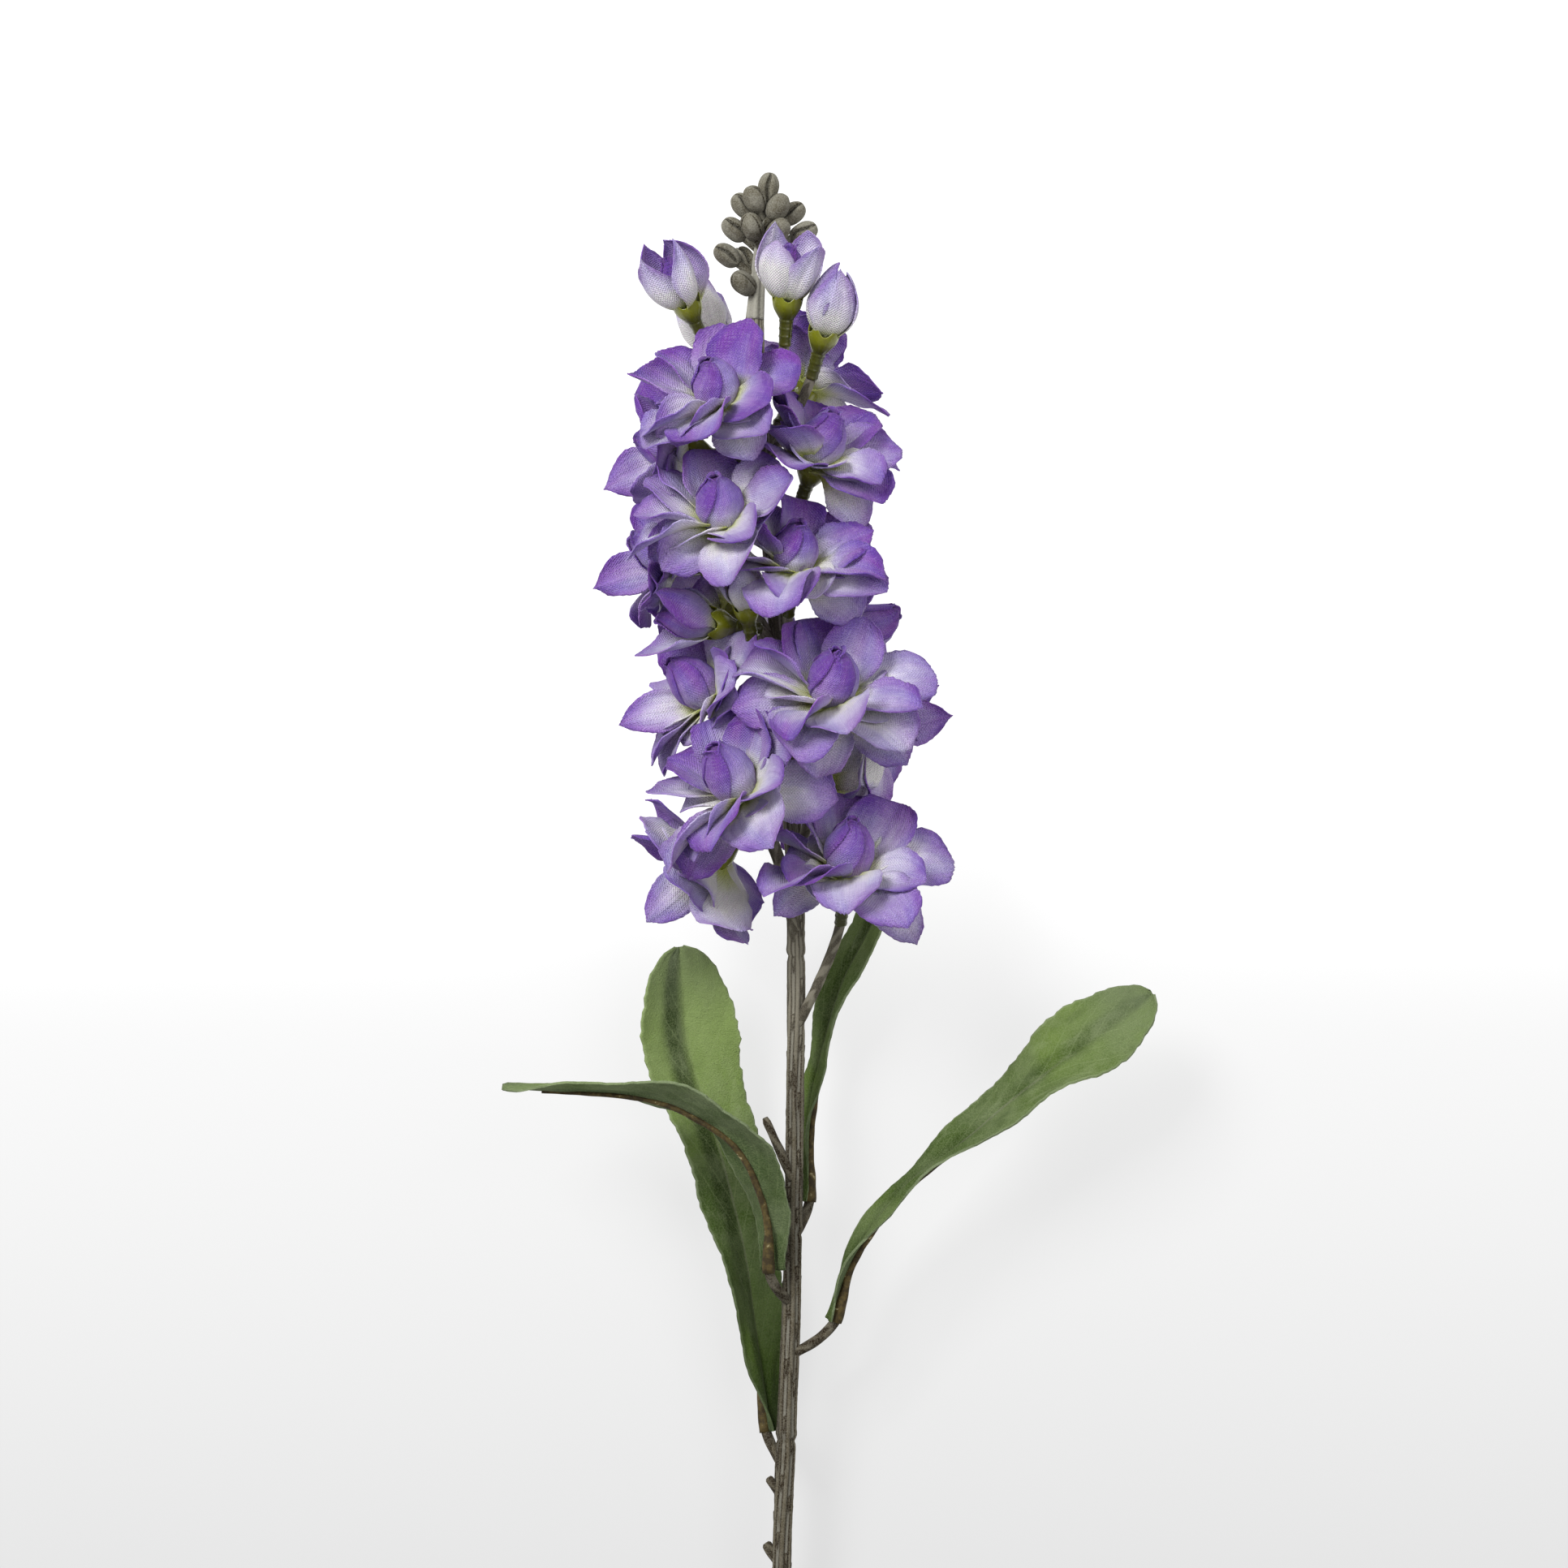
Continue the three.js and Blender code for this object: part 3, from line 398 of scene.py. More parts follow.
def tube(centres, side, over, radii, groove, tone, rise=None):
    """A closed tube: at each centre a ring of corners, radius times cosine along side plus radius times
    sine along over, each moved up the tube by rise, and a fan of triangles at each end."""
    rows, cols = radii.shape
    side, over = np.broadcast_to(side, centres.shape), np.broadcast_to(over, centres.shape)
    angle = once_round(cols)[..., None]
    ring = np.cos(angle) * side[:, None] + np.sin(angle) * over[:, None]
    ring = centres[:, None] + radii[..., None] * ring
    if rise is not None:
        ring = ring + rise[..., None] * np.cross(side, over)[:, None]
    c = np.arange(cols)
    n = (c + 1) % cols
    base, top = rows * cols, (rows - 1) * cols
    foot_fan = np.stack([np.full(cols, base), n, c], -1)
    top_fan = np.stack([np.full(cols, base + 1), top + c, top + n], -1)
    along = np.linspace(0, 1, rows)[:, None]
    about = c[None, :] * (2 * np.pi * radii.mean() / cols)
    reads = spread_out((groove, along, tone), radii.shape)
    cloth = spread_out((about, lengths_along(centres)[:, None], 0.0), radii.shape)
    return {
        "points": np.concatenate([ring.reshape(-1, 3), centres[:1], centres[-1:]]),
        "quads": grid_quads(rows, cols, True),
        "tris": np.concatenate([foot_fan, top_fan]),
        "flat": 0,
        "read": np.concatenate([reads, [[0, 0, tone], [0, 1, tone]]]),
        "cloth": np.concatenate([cloth, np.zeros((2, 3))]),
    }


def rough_rod(centres, side, over, radius, cols, seed, knots=0.06):
    """A tube whose radius swells and dips a little along and around."""
    lengths = lengths_along(centres)[:, None]
    angle = once_round(cols)
    noise = ripple(lengths / 3.1 + np.cos(angle), np.sin(angle) + lengths / 7, seed)
    radii = np.asarray(radius).reshape(-1, 1) * (1 + knots * noise)
    return tube(centres, side, over, radii, 0.35 - 0.35 * noise, scatter(seed))


def straight(start, end, count):
    """Centres on a straight line, and two directions across it."""
    start, end = np.array(start, float), np.array(end, float)
    tangent = unit(end - start)
    side = unit(np.cross(tangent, np.array([0.0, 0.3, 1.0])))
    return start + (end - start) * np.linspace(0, 1, count)[:, None], side, np.cross(tangent, side)


# Where each flower is, its cell and its shoot.
stem_line = Line(STEM_LINE)


def stem_at(y):
    """The middle of the stem at a height, or at each of many."""
    return between(y, stem_line.samples[:, 1], stem_line.samples)


def shoot_line(end, direction, drop=None):
    """A bent shoot: it leaves the stem's middle below its end, and the point that bends it lies half its
    reach behind the end on the line it ends in. Gives centres and two directions across them."""
    out = np.linalg.norm(end - stem_at(end[1]))
    root = stem_at(end[1] - (out * SHOOT_RISE if drop is None else drop))
    bend = end - direction * out * 0.5
    t = np.linspace(0, 1, 24)[:, None]
    centres = (1 - t) ** 2 * root + 2 * t * (1 - t) * bend + t**2 * end
    plane = np.cross(end - root, bend - root)
    side = unit(plane if np.linalg.norm(plane) > 1e-6 else FORWARD)
    return centres, side, np.cross(unit(np.gradient(centres, axis=0)), side)


def framed(name, row, reach, opened, seed):
    """A flower's axis, two directions across it, the middle of its cell and its shoot."""
    at, turn, rise, roll, size, front, drop, *spread = row
    turn, rise, at = math.radians(turn), math.radians(rise), np.array(at, float)
    axis = np.array([math.sin(turn) * math.cos(rise), math.sin(rise), math.cos(turn) * math.cos(rise)])
    side = np.array([math.cos(turn), 0, -math.sin(turn)])
    foot = at - axis * (CUP_DEPTH + STALK_LENGTH * size * 0.8)
    return SimpleNamespace(
        name=name, at=at, axis=axis, side=side, over=np.cross(axis, side), size=size,
        spread=sum(spread), roll=math.radians(roll), front=front, opened=opened, seed=seed,
        foot=foot, middle=at + axis * CELL_CENTRE, reach=reach * size,
        shoot=shoot_line(foot + axis * SEAT_DEPTH, axis, drop),
    )


flowers = [framed(f"bloom_{i + 1:02d}", row, CELL_REACH, True, i * 40) for i, row in enumerate(BLOOMS)]
flowers += [framed(f"bud_{i + 1:02d}", row, BUD_REACH, False, 1000 + i * 40) for i, row in enumerate(BUDS)]


def cell_walls(flower):
    """The planes between a flower and its near neighbours, shared by their reach, and the floor."""
    walls = []
    for other in flowers:
        apart = other.middle - flower.middle
        distance = np.linalg.norm(apart)
        if other is flower or distance > flower.reach + other.reach + CELL_RANGE:
            continue
        normal = apart / distance
        share = flower.reach / (flower.reach + other.reach)
        walls.append((normal, normal @ flower.middle + distance * share - CELL_MARGIN, CELL_SOFTNESS))
    down = -np.array([0, math.sin(LYING_TILT), math.cos(LYING_TILT)])
    walls.append((down, GROUND_DROP - PETAL_THICK / 2, GROUND_SOFTNESS))
    return walls


for flower in flowers:
    flower.walls = cell_walls(flower)


def keep_in_cell(walls, points):
    """From a wall's softness before it on, a point's distance is pressed so that it only nears the
    wall: what is left of the distance falls off like an exponential."""
    for normal, at, softness in walls:
        past = points @ normal - at
        kept = -softness * np.exp(-(past + softness) / softness)
        points = points + np.where(past > -softness, kept - past, 0.0)[..., None] * normal
    return points


def from_cup(flower, aside, above, up):
    """Points by their distances from the middle of the cup's rim: to the side, over and up the axis."""
    across = flower.at + aside[..., None] * flower.side + above[..., None] * flower.over
    return across + up[..., None] * flower.axis


# Petals.
def petal_outline(petal, s):
    """Half width as a share of the widest: a claw that widens smoothly, then an end between a half round
    and a point."""
    q = within(s, petal.widest, 1)
    end = np.sqrt(1 - 0.965 * q * q) * (1 - petal.point) + (1 - 0.97 * q**1.7) * petal.point
    return (petal.claw + (1 - petal.claw) * smooth(np.clip(s / petal.widest, 0, 1))) * end


def petal_points(flower, petal, u, s, fine=True):
    """An arc from root to tip in the plane through the axis: its angle from the axis runs evenly from
    start to end. Across it the cloth wraps like a pipe, less the curl of the tip, and with waves that
    grow towards the edge. Where fine, it also has soft folds, small waves at the edge, a crease, a pinch
    along the middle, and a notched and frayed outline. It is rolled by twist, bowed to one side and then
    turned about the axis."""
    bend = petal.end - petal.start
    t = s * (1 - PETAL_ARCH * u * u)
    edge = 1.0
    if fine:
        fray = 0.012 * np.sin(61 * u + petal.phase) + 0.01 * np.sin(97 * u)
        t = t + fray * smooth(within(s, 0.8, 1)) - petal.notch * hump(u, 0.2) * s**8
        edge = 1 + 0.02 * np.abs(u) ** 6 * (np.sin(89 * s + petal.phase) + np.sin(143 * s + 5 * u))
    angle = petal.start + bend * t
    radial = petal.middle + petal.length / bend * (math.cos(petal.start) - np.cos(angle))
    height = petal.root + petal.length / bend * (np.sin(angle) - math.sin(petal.start))
    x = u * petal.half * petal_outline(petal, t) * edge
    late = np.clip((t - 0.6) / 0.4, 0, None)
    wave = np.sin(9.5 * t + petal.phase + np.where(u > 0, 2.1, 0))
    lift = petal.wrap * (1 - np.cos(x / petal.wrap)) - petal.curl * late * late
    lift = lift + petal.ruffle * u * u * t * wave
    if fine:
        body = np.sin(np.pi * np.clip(s, 0, 1)) ** 0.7
        small_wave = np.sin(17 * t + 2 * petal.phase + np.where(u > 0, 1.1, 0))
        crease_at, crease_depth = petal.crease
        lift = lift + PETAL_FOLDS * body * ripple(2.1 * u, 2.3 * s, petal.draw)
        lift = lift + PETAL_CRUMPLE * body * ripple(6.5 * u + 1.5 * s, 2.0 * s, petal.draw + 5)
        lift = lift + petal.ruffle * 0.45 * u**4 * t * small_wave
        lift = lift - crease_depth * hump(u - crease_at, 0.125) * body
        lift = lift + petal.pinch * np.abs(x) * t
    across = petal.wrap * np.sin(x / petal.wrap)
    cos, sin = math.cos(petal.twist), math.sin(petal.twist)
    sway, rise = across * cos - lift * sin + petal.bow * t * t, across * sin + lift * cos
    out, up = radial - rise * np.cos(angle), height + rise * np.sin(angle)
    cos, sin = math.cos(petal.around), math.sin(petal.around)
    return from_cup(flower, out * cos - sway * sin, out * sin + sway * cos, up)


def petal_of(flower, ring, count, k):
    """The k-th petal of a ring: evenly placed with a little scatter, opened further where it hangs, and
    closed step by step until its tip fits the cell."""
    def draw(n):
        """A number from -0.5 to 0.5 that belongs to this petal."""
        return scatter(flower.seed + ring.seed + k * 7 + n) - 0.5

    around = 2 * math.pi * (k + ring.phase + 0.22 * draw(1)) / count + flower.roll
    upward = flower.side[1] * math.cos(around) + flower.over[1] * math.sin(around)
    start = ring.start + 0.5 * min(0, flower.spread) + 8 * draw(4) - 0.3 * ring.droop * upward
    end = ring.end + flower.spread + 22 * draw(5) - ring.droop * upward
    petal = changed(
        ring,
        around=around,
        upward=upward,
        draw=flower.seed * 3 + ring.seed + k * 11,
        length=ring.length * flower.size * (1 + 0.14 * draw(2)),
        half=ring.half * flower.size * (1 + 0.16 * draw(3)),
        wrap=ring.wrap * flower.size * (1 + 0.9 * draw(10)),
        curl=ring.curl * (1 + 1.8 * draw(6)),
        twist=math.radians(ring.twist + 30 * draw(9)),
        phase=6.3 * draw(7),
        point=min(1.0, max(0.0, ring.point + 0.9 * draw(8))),
        notch=0.05 * max(0.0, draw(6)),
        bow=0.16 * ring.length * draw(11),
        crease=(0.3 * draw(12), 0.35 + 0.5 * draw(13)),
        pinch=0.45 * max(0.0, draw(14)),
    )
    best, least = None, math.inf
    for step in range(CLOSE_STEPS + 1):
        closed = CLOSE_STEP * step
        tried = changed(
            petal, start=math.radians(start) - math.radians(CLOSE_AT_ROOT * closed),
            end=math.radians(end) - math.radians(closed),
        )
        tip = petal_points(flower, tried, np.array(0.0), np.array(1.0), fine=False)
        past = max(normal @ tip - at for normal, at, _ in flower.walls)
        if past < least - 0.5:
            best, least = tried, past
        if least < CLOSE_ENOUGH:
            break
    return best


def petal_sheet(flower, petal, tone, rows, cols):
    """A petal as a closed sheet of cloth, pressed twice into the flower's cell. On a bud the way along
    that the dye reads starts at 0.2, so less of the green claw shows."""
    s, u = sheet_grid(rows, cols)
    points = petal_points(flower, petal, u, s)
    points = keep_in_cell(flower.walls, keep_in_cell(flower.walls, points))
    cloth = (u * petal.half * petal_outline(petal, s) + 40 * scatter(petal.draw), s * petal.length)
    along = s if flower.opened else 0.2 + 0.8 * s
    return sheet(points, PETAL_THICK, u, along, tone, cloth)


def ring_parts(flower, ring, count, grid):
    """A ring of petals. Each has the ring's tone, more where it points up the stem, and a difference of
    its own. On opened flowers the tone also rises evenly with the flower's height on the stem."""
    parts = []
    for k in range(count):
        petal = petal_of(flower, ring, count, k)
        own = scatter(petal.draw + 3) - 0.5
        tone = ring.tone + TONE_UPWARD * petal.upward + TONE_SCATTER * own
        if flower.opened:
            tone += TONE_RISE * (flower.at[1] - TONE_MIDDLE)
        parts.append(petal_sheet(flower, petal, tone, **grid))
    return parts


def loose_petal(flower, row, seed):
    """A single petal of the outer ring's kind: it leaves the bloom on the side it points to, bends until
    it points that way, and is rolled to show its breadth to the viewer."""
    _, way, forward, length, half, point, tone = row
    way = math.radians(way)
    target = unit(np.array([math.cos(way), math.sin(way), forward]))
    end = math.acos(float(target @ flower.axis)) + LOOSE_OVERSHOOT
    petal = petal_of(flower, changed(OUTER, seed=seed), 1, 0)
    petal = changed(
        petal, around=math.atan2(target @ flower.over, target @ flower.side), length=length, half=half,
        start=min(LOOSE_START_LIMIT, 0.8 * end), end=end, point=point, draw=seed * 3, bow=0, notch=0,
    )
    radial = math.cos(petal.around) * flower.side + math.sin(petal.around) * flower.over
    middle = (petal.start + petal.end) / 2
    face = math.sin(middle) * flower.axis - math.cos(middle) * radial
    width = np.cross(flower.axis, radial)
    petal.twist = 0.8 * math.atan(-width[2] / face[2]) if abs(face[2]) > 0.01 else 1.2
    ground = changed(flower, walls=flower.walls[-1:])
    return petal_sheet(ground, petal, tone, **FRONT_GRID)


def heart_parts(flower, height, tone, width=1.0, count=4):
    """The closed heart: petals laid one over the other round a core. Each keeps one edge lifted outside
    its neighbour and the other tucked under, on a radius that swells and then draws in to the top, where
    the tips stand up as a small tuft."""
    size = flower.size
    level = np.linspace(0, 18.6, 26)
    core = np.interp(level, HEART_HEIGHTS, HEART_RADII)[:, None] * HEART_CORE * width * size
    centres = flower.at + ((HEART_FOOT + level * height) * size)[:, None] * flower.axis
    parts = [tube(centres, flower.side, flower.over, np.repeat(core, 20, 1), 0.0, tone + 0.5)]
    s, u = sheet_grid(24, 21)
    for k in range(count):
        draw = flower.seed + 500 + k * 9
        tip = 1 + 0.06 * (scatter(draw + 7) - 0.3)
        level = 20.4 * s * tip * (1 - 0.07 * u * u * s)
        radius = np.interp(level, HEART_HEIGHTS, HEART_RADII) * width
        radius = radius * (0.97 + 0.1 * u * smooth(s)) + 0.22 * ripple(2.6 * u, 3 * s, draw)
        radius = radius + (0.4 + 1.5 * scatter(draw + 6)) * within(s, 0.84, 1) ** 2
        half = 1.25 * (0.55 + 0.45 * np.sin(np.pi * np.clip(0.1 + 0.6 * s, 0, 1)))
        turn = 2 * np.pi / count * (k + 0.35 * scatter(draw + 2))
        angle = flower.roll + turn + u * half + 1.1 * s**1.5
        aside, above = radius * size * np.cos(angle), radius * size * np.sin(angle)
        points = from_cup(flower, aside, above, (HEART_FOOT + level * height) * size)
        cloth = (u * 9 * size + 40 * scatter(draw + 4), s * 20 * size * height)
        own = tone - 0.08 + 0.24 * (scatter(draw + 5) - 0.5)
        points = keep_in_cell(flower.walls, points)
        parts.append(sheet(points, PETAL_THICK, u, 0.26 + 0.78 * s, own, cloth))
    return parts


def flower_parts(flower):
    """A bloom's rings, its single petals and its heart, or a bud's one ring and a slim heart. Flowers
    that do not face the viewer have fewer petals, and their blooms a coarser grid."""
    outer, inner = FRONT_COUNTS if flower.front else OTHER_COUNTS
    if not flower.opened:
        ring = changed(OPENING, tone=WIDE_TONE) if flower.spread > WIDE_SPREAD else OPENING
        return ring_parts(flower, ring, inner, FRONT_GRID) + heart_parts(flower, 0.86, 0.66, 0.76, 3)
    grid = FRONT_GRID if flower.front else OTHER_GRID
    parts = ring_parts(flower, OUTER, outer, grid) + ring_parts(flower, BETWEEN, 2, grid)
    parts += ring_parts(flower, THROAT, 5, THROAT_GRID) + ring_parts(flower, INNER, inner, grid)
    for k, row in enumerate(LOOSE_PETALS):
        if flower.name == f"bloom_{row[0]:02d}":
            parts.append(loose_petal(flower, row, 2000 + k * 40))
    return parts + heart_parts(flower, 0.8 + 0.16 * scatter(flower.seed), 0.56)


def cup_parts(flower):
    """The cup, turned about the flower's axis: a stalk with rings at even steps, then a round bowl whose
    lip is drawn up into five lobes that lie on the petals."""
    size = flower.size
    foot = (flower.foot - flower.at) @ flower.axis
    neck = -CUP_DEPTH * size - 0.6
    stalk = np.linspace(foot, neck, 34)
    rings = 0.14 * np.maximum(0, np.sin((stalk - foot) * 2 * np.pi / CUP_RING_STEP)) ** 2
    stalk_radius = STALK_RADIUS * (0.84 + 0.14 * (stalk - foot) / (neck - foot)) + rings
    t = np.linspace(0, 1, 18)[1:]
    bowl = neck + (0.6 - neck) * t
    bowl_radius = STALK_RADIUS + (CUP_RADIUS * size - STALK_RADIUS) * np.sin(t * np.pi / 2) ** 1.1
    inside = np.array([0.93, 0.8, 0.5]) * CUP_RADIUS * size
    height = np.concatenate([stalk, bowl, [0.4, -0.4, -1.4]])
    radius = np.concatenate([stalk_radius, bowl_radius, inside])[:, None]
    lip = np.concatenate([np.zeros(34), t**3, [0.9, 0.4, 0]])[:, None]
    centres = flower.at + height[:, None] * flower.axis
    height = height[:, None]
    angle = once_round(35)
    lobe = (0.5 + 0.5 * np.cos(5 * angle + flower.seed)) ** 1.5
    radii = radius * (1 + 0.02 * ripple(angle * 2, height / 2, flower.seed) + 0.05 * lip * lobe)
    groove = np.clip((height - neck) / -neck, 0, 1) + 0.4 * lip * lobe
    tone, rise = scatter(flower.seed + 9), 2.6 * size * lip * lobe
    return [tube(centres, flower.side, flower.over, radii, groove, tone, rise)]


# Leaves and their ribs.
for leaf in LEAVES:
    leaf.curve = Line(leaf.line)


def leaf_frame(leaf, s):
    """Points of the midrib with its tangent, the way the upper face looks, and the way across."""
    tangent = leaf.curve.tangent(s)
    faces = np.array(leaf.faces, float)
    along = np.asarray(s) * (len(faces) - 1)
    k = np.minimum(along.astype(int), len(faces) - 2)
    part = smooth(along - k)[..., None]
    up = faces[k] * (1 - part) + faces[k + 1] * part
    up = unit(up - (up * tangent).sum(-1, keepdims=True) * tangent)
    return leaf.curve.at(s), tangent, up, np.cross(tangent, up)


def leaf_half(leaf, s):
    """Half width along a leaf: eased between the stated widths, and drawn to a round tip."""
    half = np.array(leaf.half, float)
    along = s * (len(half) - 1)
    k = np.minimum(along.astype(int), len(half) - 2)
    wide = half[k] + (half[k + 1] - half[k]) * smooth(along - k)
    q = within(s, LEAF_ROUND, 1)
    return wide * np.sqrt(np.clip(1 - 0.9 * q * q - 0.09 * q**8, 0, 1))


def leaf_parts(leaf):
    """A blade folded up along its midrib by an angle that eases to the tip, with a waved edge that grows
    with the square of the way out, veins pressed in, and a slightly ragged outline."""
    seed = 700 + len(leaf.name) * 13
    s, u = sheet_grid(110, 37)
    at, _, up, side = leaf_frame(leaf, s[:, 0])
    ragged = 1 + 0.014 * np.sin(157 * s + 3 * u) + 0.014 * np.sin(263 * s + seed)
    ragged = ragged + 0.016 * np.sin(71 * s + 2 * u) + 0.045 * (1 - s) * np.sin(29 * s + 2.4 * u + seed)
    x = u * leaf_half(leaf, s) * ragged
    fold = math.radians(leaf.fold) * (1 - 0.6 * s)
    edge = leaf.wave * u * u * np.sin(21 * s + np.where(u > 0, 1.7, 0) + len(leaf.name))
    between_veins = np.sin(np.pi * (VEIN_COUNT * s - VEIN_SLANT * np.abs(u)))
    veins = -0.14 * np.exp(-(between_veins * 2.2) ** 2) * np.abs(u) ** 0.5
    crease = -0.45 * np.exp(-(u * 6.5) ** 2)
    soft = 0.35 * ripple(2.2 * u, 9 * s, seed) + 0.12 * ripple(5 * u, 26 * s, seed + 4)
    lift = np.abs(x) * np.sin(fold) + edge + crease + veins + soft
    points = at[:, None] + (x * np.cos(fold))[..., None] * side[:, None] + lift[..., None] * up[:, None]
    return [sheet(points, LEAF_THICK, u, s, leaf.shade, (x, s * leaf.curve.length))]


def rib_parts(leaf):
    """The coated wire under a leaf: a thick rough sleeve at the stem that thins smoothly to a wire."""
    s = np.linspace(0, RIB_REACH, 90)
    at, _, up, side = leaf_frame(leaf, s)
    share = np.clip(s * leaf.curve.length / (SLEEVE_LENGTH * 1.4), 0, 1)
    wire = RIB_RADIUS + (RIB_END_RADIUS - RIB_RADIUS) * s / RIB_REACH
    radius = SLEEVE_RADIUS + (wire - SLEEVE_RADIUS) * smooth(share)
    centres = at - up * (LEAF_THICK / 2 + LEAF_GAP + radius)[:, None]
    over = np.cross(unit(np.gradient(centres, axis=0)), side)
    return [rough_rod(centres, side, over, radius, 20, 150, 0.12)]


# The flocked stem with its shoots, leaf feet and pegs, and its tip.
def ridge_turn(angle, y):
    """How far round the stem a corner counts for the ridges, which wander a little as they climb."""
    return angle + 0.16 * np.sin(y / 23) + 0.06 * np.sin(y / 7.3 + 1) + 0.45


def main_stem_parts():
    """The main stem: its radius tapers evenly, is raised by ridges that wander and thin out at places,
    with long drops moulded in the valleys between them, and is pinched at each seam of the moulding."""
    share = np.linspace(0, 1, 660)
    centres = stem_line.at(share)
    tangent = stem_line.tangent(share)
    side = unit(np.cross(tangent, FORWARD))
    y = centres[:, 1:2]
    angle = once_round(90)
    radius = FOOT_RADIUS + (STEM_TOP_RADIUS - FOOT_RADIUS) * (y - FOOT_Y) / (STEM_LINE[-1][1] - FOOT_Y)
    turned = ridge_turn(angle, y)
    ridge = 0.5 + 0.5 * np.cos(STEM_RIDGES * turned)
    stops = ripple(2.2 * np.cos(angle) + y / 16, 2.2 * np.sin(angle) + y / 23, 7)
    relief = ridge**0.8 * (0.6 + 0.4 * smooth(within(stops, -0.5, -0.2)))
    valley = np.floor(STEM_RIDGES * turned / (2 * np.pi))
    step = np.mod(y / DROP_STEP + 0.37 * valley, 1)
    drop = smooth(within(step, 0, DROP_SHARE)) * (1 - smooth(within(step, DROP_SHARE, DROP_SHARE + 0.07)))
    relief = np.maximum(relief, 0.85 * drop * np.clip(1 - ridge / 0.3, 0, 1) ** 0.5)
    seams = sum(hump(y - at, 0.8) - 0.5 * hump(y - at - 2.2, 1.4) for at in STEM_SEAMS)
    fine = 0.05 * ripple(9 * np.cos(angle) + y / 1.3, 9 * np.sin(angle), 3)
    radii = radius - RIDGE_HEIGHT + RIDGE_HEIGHT * relief + fine - SEAM_DEPTH * seams
    parts = [tube(centres, side, np.cross(tangent, side), radii, 1 - relief, 0.5)]
    for i, flower in enumerate(flowers):
        parts.append(rough_rod(*flower.shoot, SHOOT_RADIUS, 16, 40 + i))
    for i, leaf in enumerate(LEAVES):
        at, tangent, up, _ = leaf_frame(leaf, np.array(0.0))
        end = at - up * (LEAF_THICK / 2 + LEAF_GAP + SLEEVE_RADIUS) + tangent * SEAT_DEPTH
        foot = shoot_line(end, tangent, LEAF_FOOT_DROP)
        parts.append(rough_rod(*foot, SLEEVE_RADIUS * 0.8, 20, 70 + i))
    for i, (start, end, thick) in enumerate(PEGS):
        radius = thick * np.linspace(1.15, 0.85, 16)
        radius[-1] *= 0.7
        parts.append(rough_rod(*straight(start, end, 16), radius, 18, 90 + i, 0.1))
    return parts


def tip_parts():
    """The closed buds: a long bead each, whose radius is cut by a deep cleft down one side and flattened
    beside it, on a short stalk. They sit on a thick ridged stalk."""
    tip_line = Line(TIP_LINE)
    share = np.linspace(-0.2, 1, 50)
    tangent = tip_line.tangent(np.maximum(share, 0))
    centres = tip_line.at(np.maximum(share, 0)) + np.minimum(share, 0)[:, None] * tip_line.length * tangent
    side = unit(np.cross(tangent, FORWARD))
    ridge = (0.5 + 0.5 * np.cos(STEM_RIDGES * ridge_turn(once_round(56), centres[:, 1:2]))) ** 0.8
    radii = TIP_STALK_RADIUS - TIP_STALK_TAPER * share[:, None] - TIP_RIDGE_HEIGHT * (1 - ridge)
    parts = [tube(centres, side, np.cross(tangent, side), radii, 0.6 - 0.6 * ridge, DUSTY_TONE)]
    low, high = TIP_LINE[0][1], TIP_LINE[-1][1]
    polar = np.linspace(0.02, np.pi - 0.02, 32)[:, None]
    around = once_round(80, -np.pi)
    upper = smooth(within(polar, 0.4, 0.9))
    shoulder = hump(np.abs(around) - 0.5, 0.3)
    for i, (x, y, z, turn) in enumerate(TIP_BUDS):
        place = np.array([x, y, z])
        root = tip_line.at(np.clip((y - TIP_SHOOT_DROP - low) / (high - low), 0.02, 1))
        lean = unit(place - root)
        front = np.array([math.sin(math.radians(turn)), 0, math.cos(math.radians(turn))])
        front = unit(front - (front @ lean) * lean)
        cleft = hump(around - 0.1 * np.sin(3 * polar + i), 0.13 + 0.06 * np.sin(polar)) * upper
        cleft = np.maximum(cleft, 0.55 * hump(around - 2.2, 0.1) * upper)
        radii = TIP_BUD_RADIUS * np.sin(polar) ** 0.85 * (1 - 0.42 * cleft + 0.1 * shoulder)
        radii = radii * (1 + 0.03 * ripple(around, 2 * polar, 300 + i))
        centres = place - TIP_BUD_HALF_LENGTH * np.cos(polar) * lean
        groove = np.clip(cleft * 1.3, 0, 1)
        parts.append(tube(centres, -front, -np.cross(lean, front), radii, groove, scatter(i + 60)))
        parts.append(rough_rod(*straight(root, place, 12), TIP_SHOOT_RADIUS, 14, 120 + i))
    return parts


# Materials.
def paint(red, green, blue):
    """A screen colour from 0 to 255 as the linear colour that Blender works in."""
    screen = np.array([red, green, blue]) / 255
    return (*np.where(screen <= 0.04045, screen / 12.92, ((screen + 0.055) / 1.055) ** 2.4), 1.0)


def feed(socket, value):
    """Links an output to a node's input, or sets any other value on it."""
    if isinstance(value, bpy.types.NodeSocket):
        socket.id_data.links.new(value, socket)
    else:
        socket.default_value = value


def add(kind, inputs, tree=None, **settings):
    """Adds a node to a tree, by default the one that its inputs come from, and gives its outputs."""
    if tree is None:
        tree = next(value.id_data for value in inputs.values() if isinstance(value, bpy.types.NodeSocket))
    node = tree.nodes.new("ShaderNode" + kind)
    for label, value in settings.items():
        setattr(node, label, value)
    for label, value in inputs.items():
        feed(node.inputs[label], value)
    return node.outputs


def attribute(tree, name):
    """The vector that a mesh holds at each corner under a name."""
    return add("Attribute", {}, tree, attribute_name=name)["Vector"]


def place_in(tree):
    """The place of the point being coloured, in metres in the frame."""
    return add("TexCoord", {}, tree)["Object"]


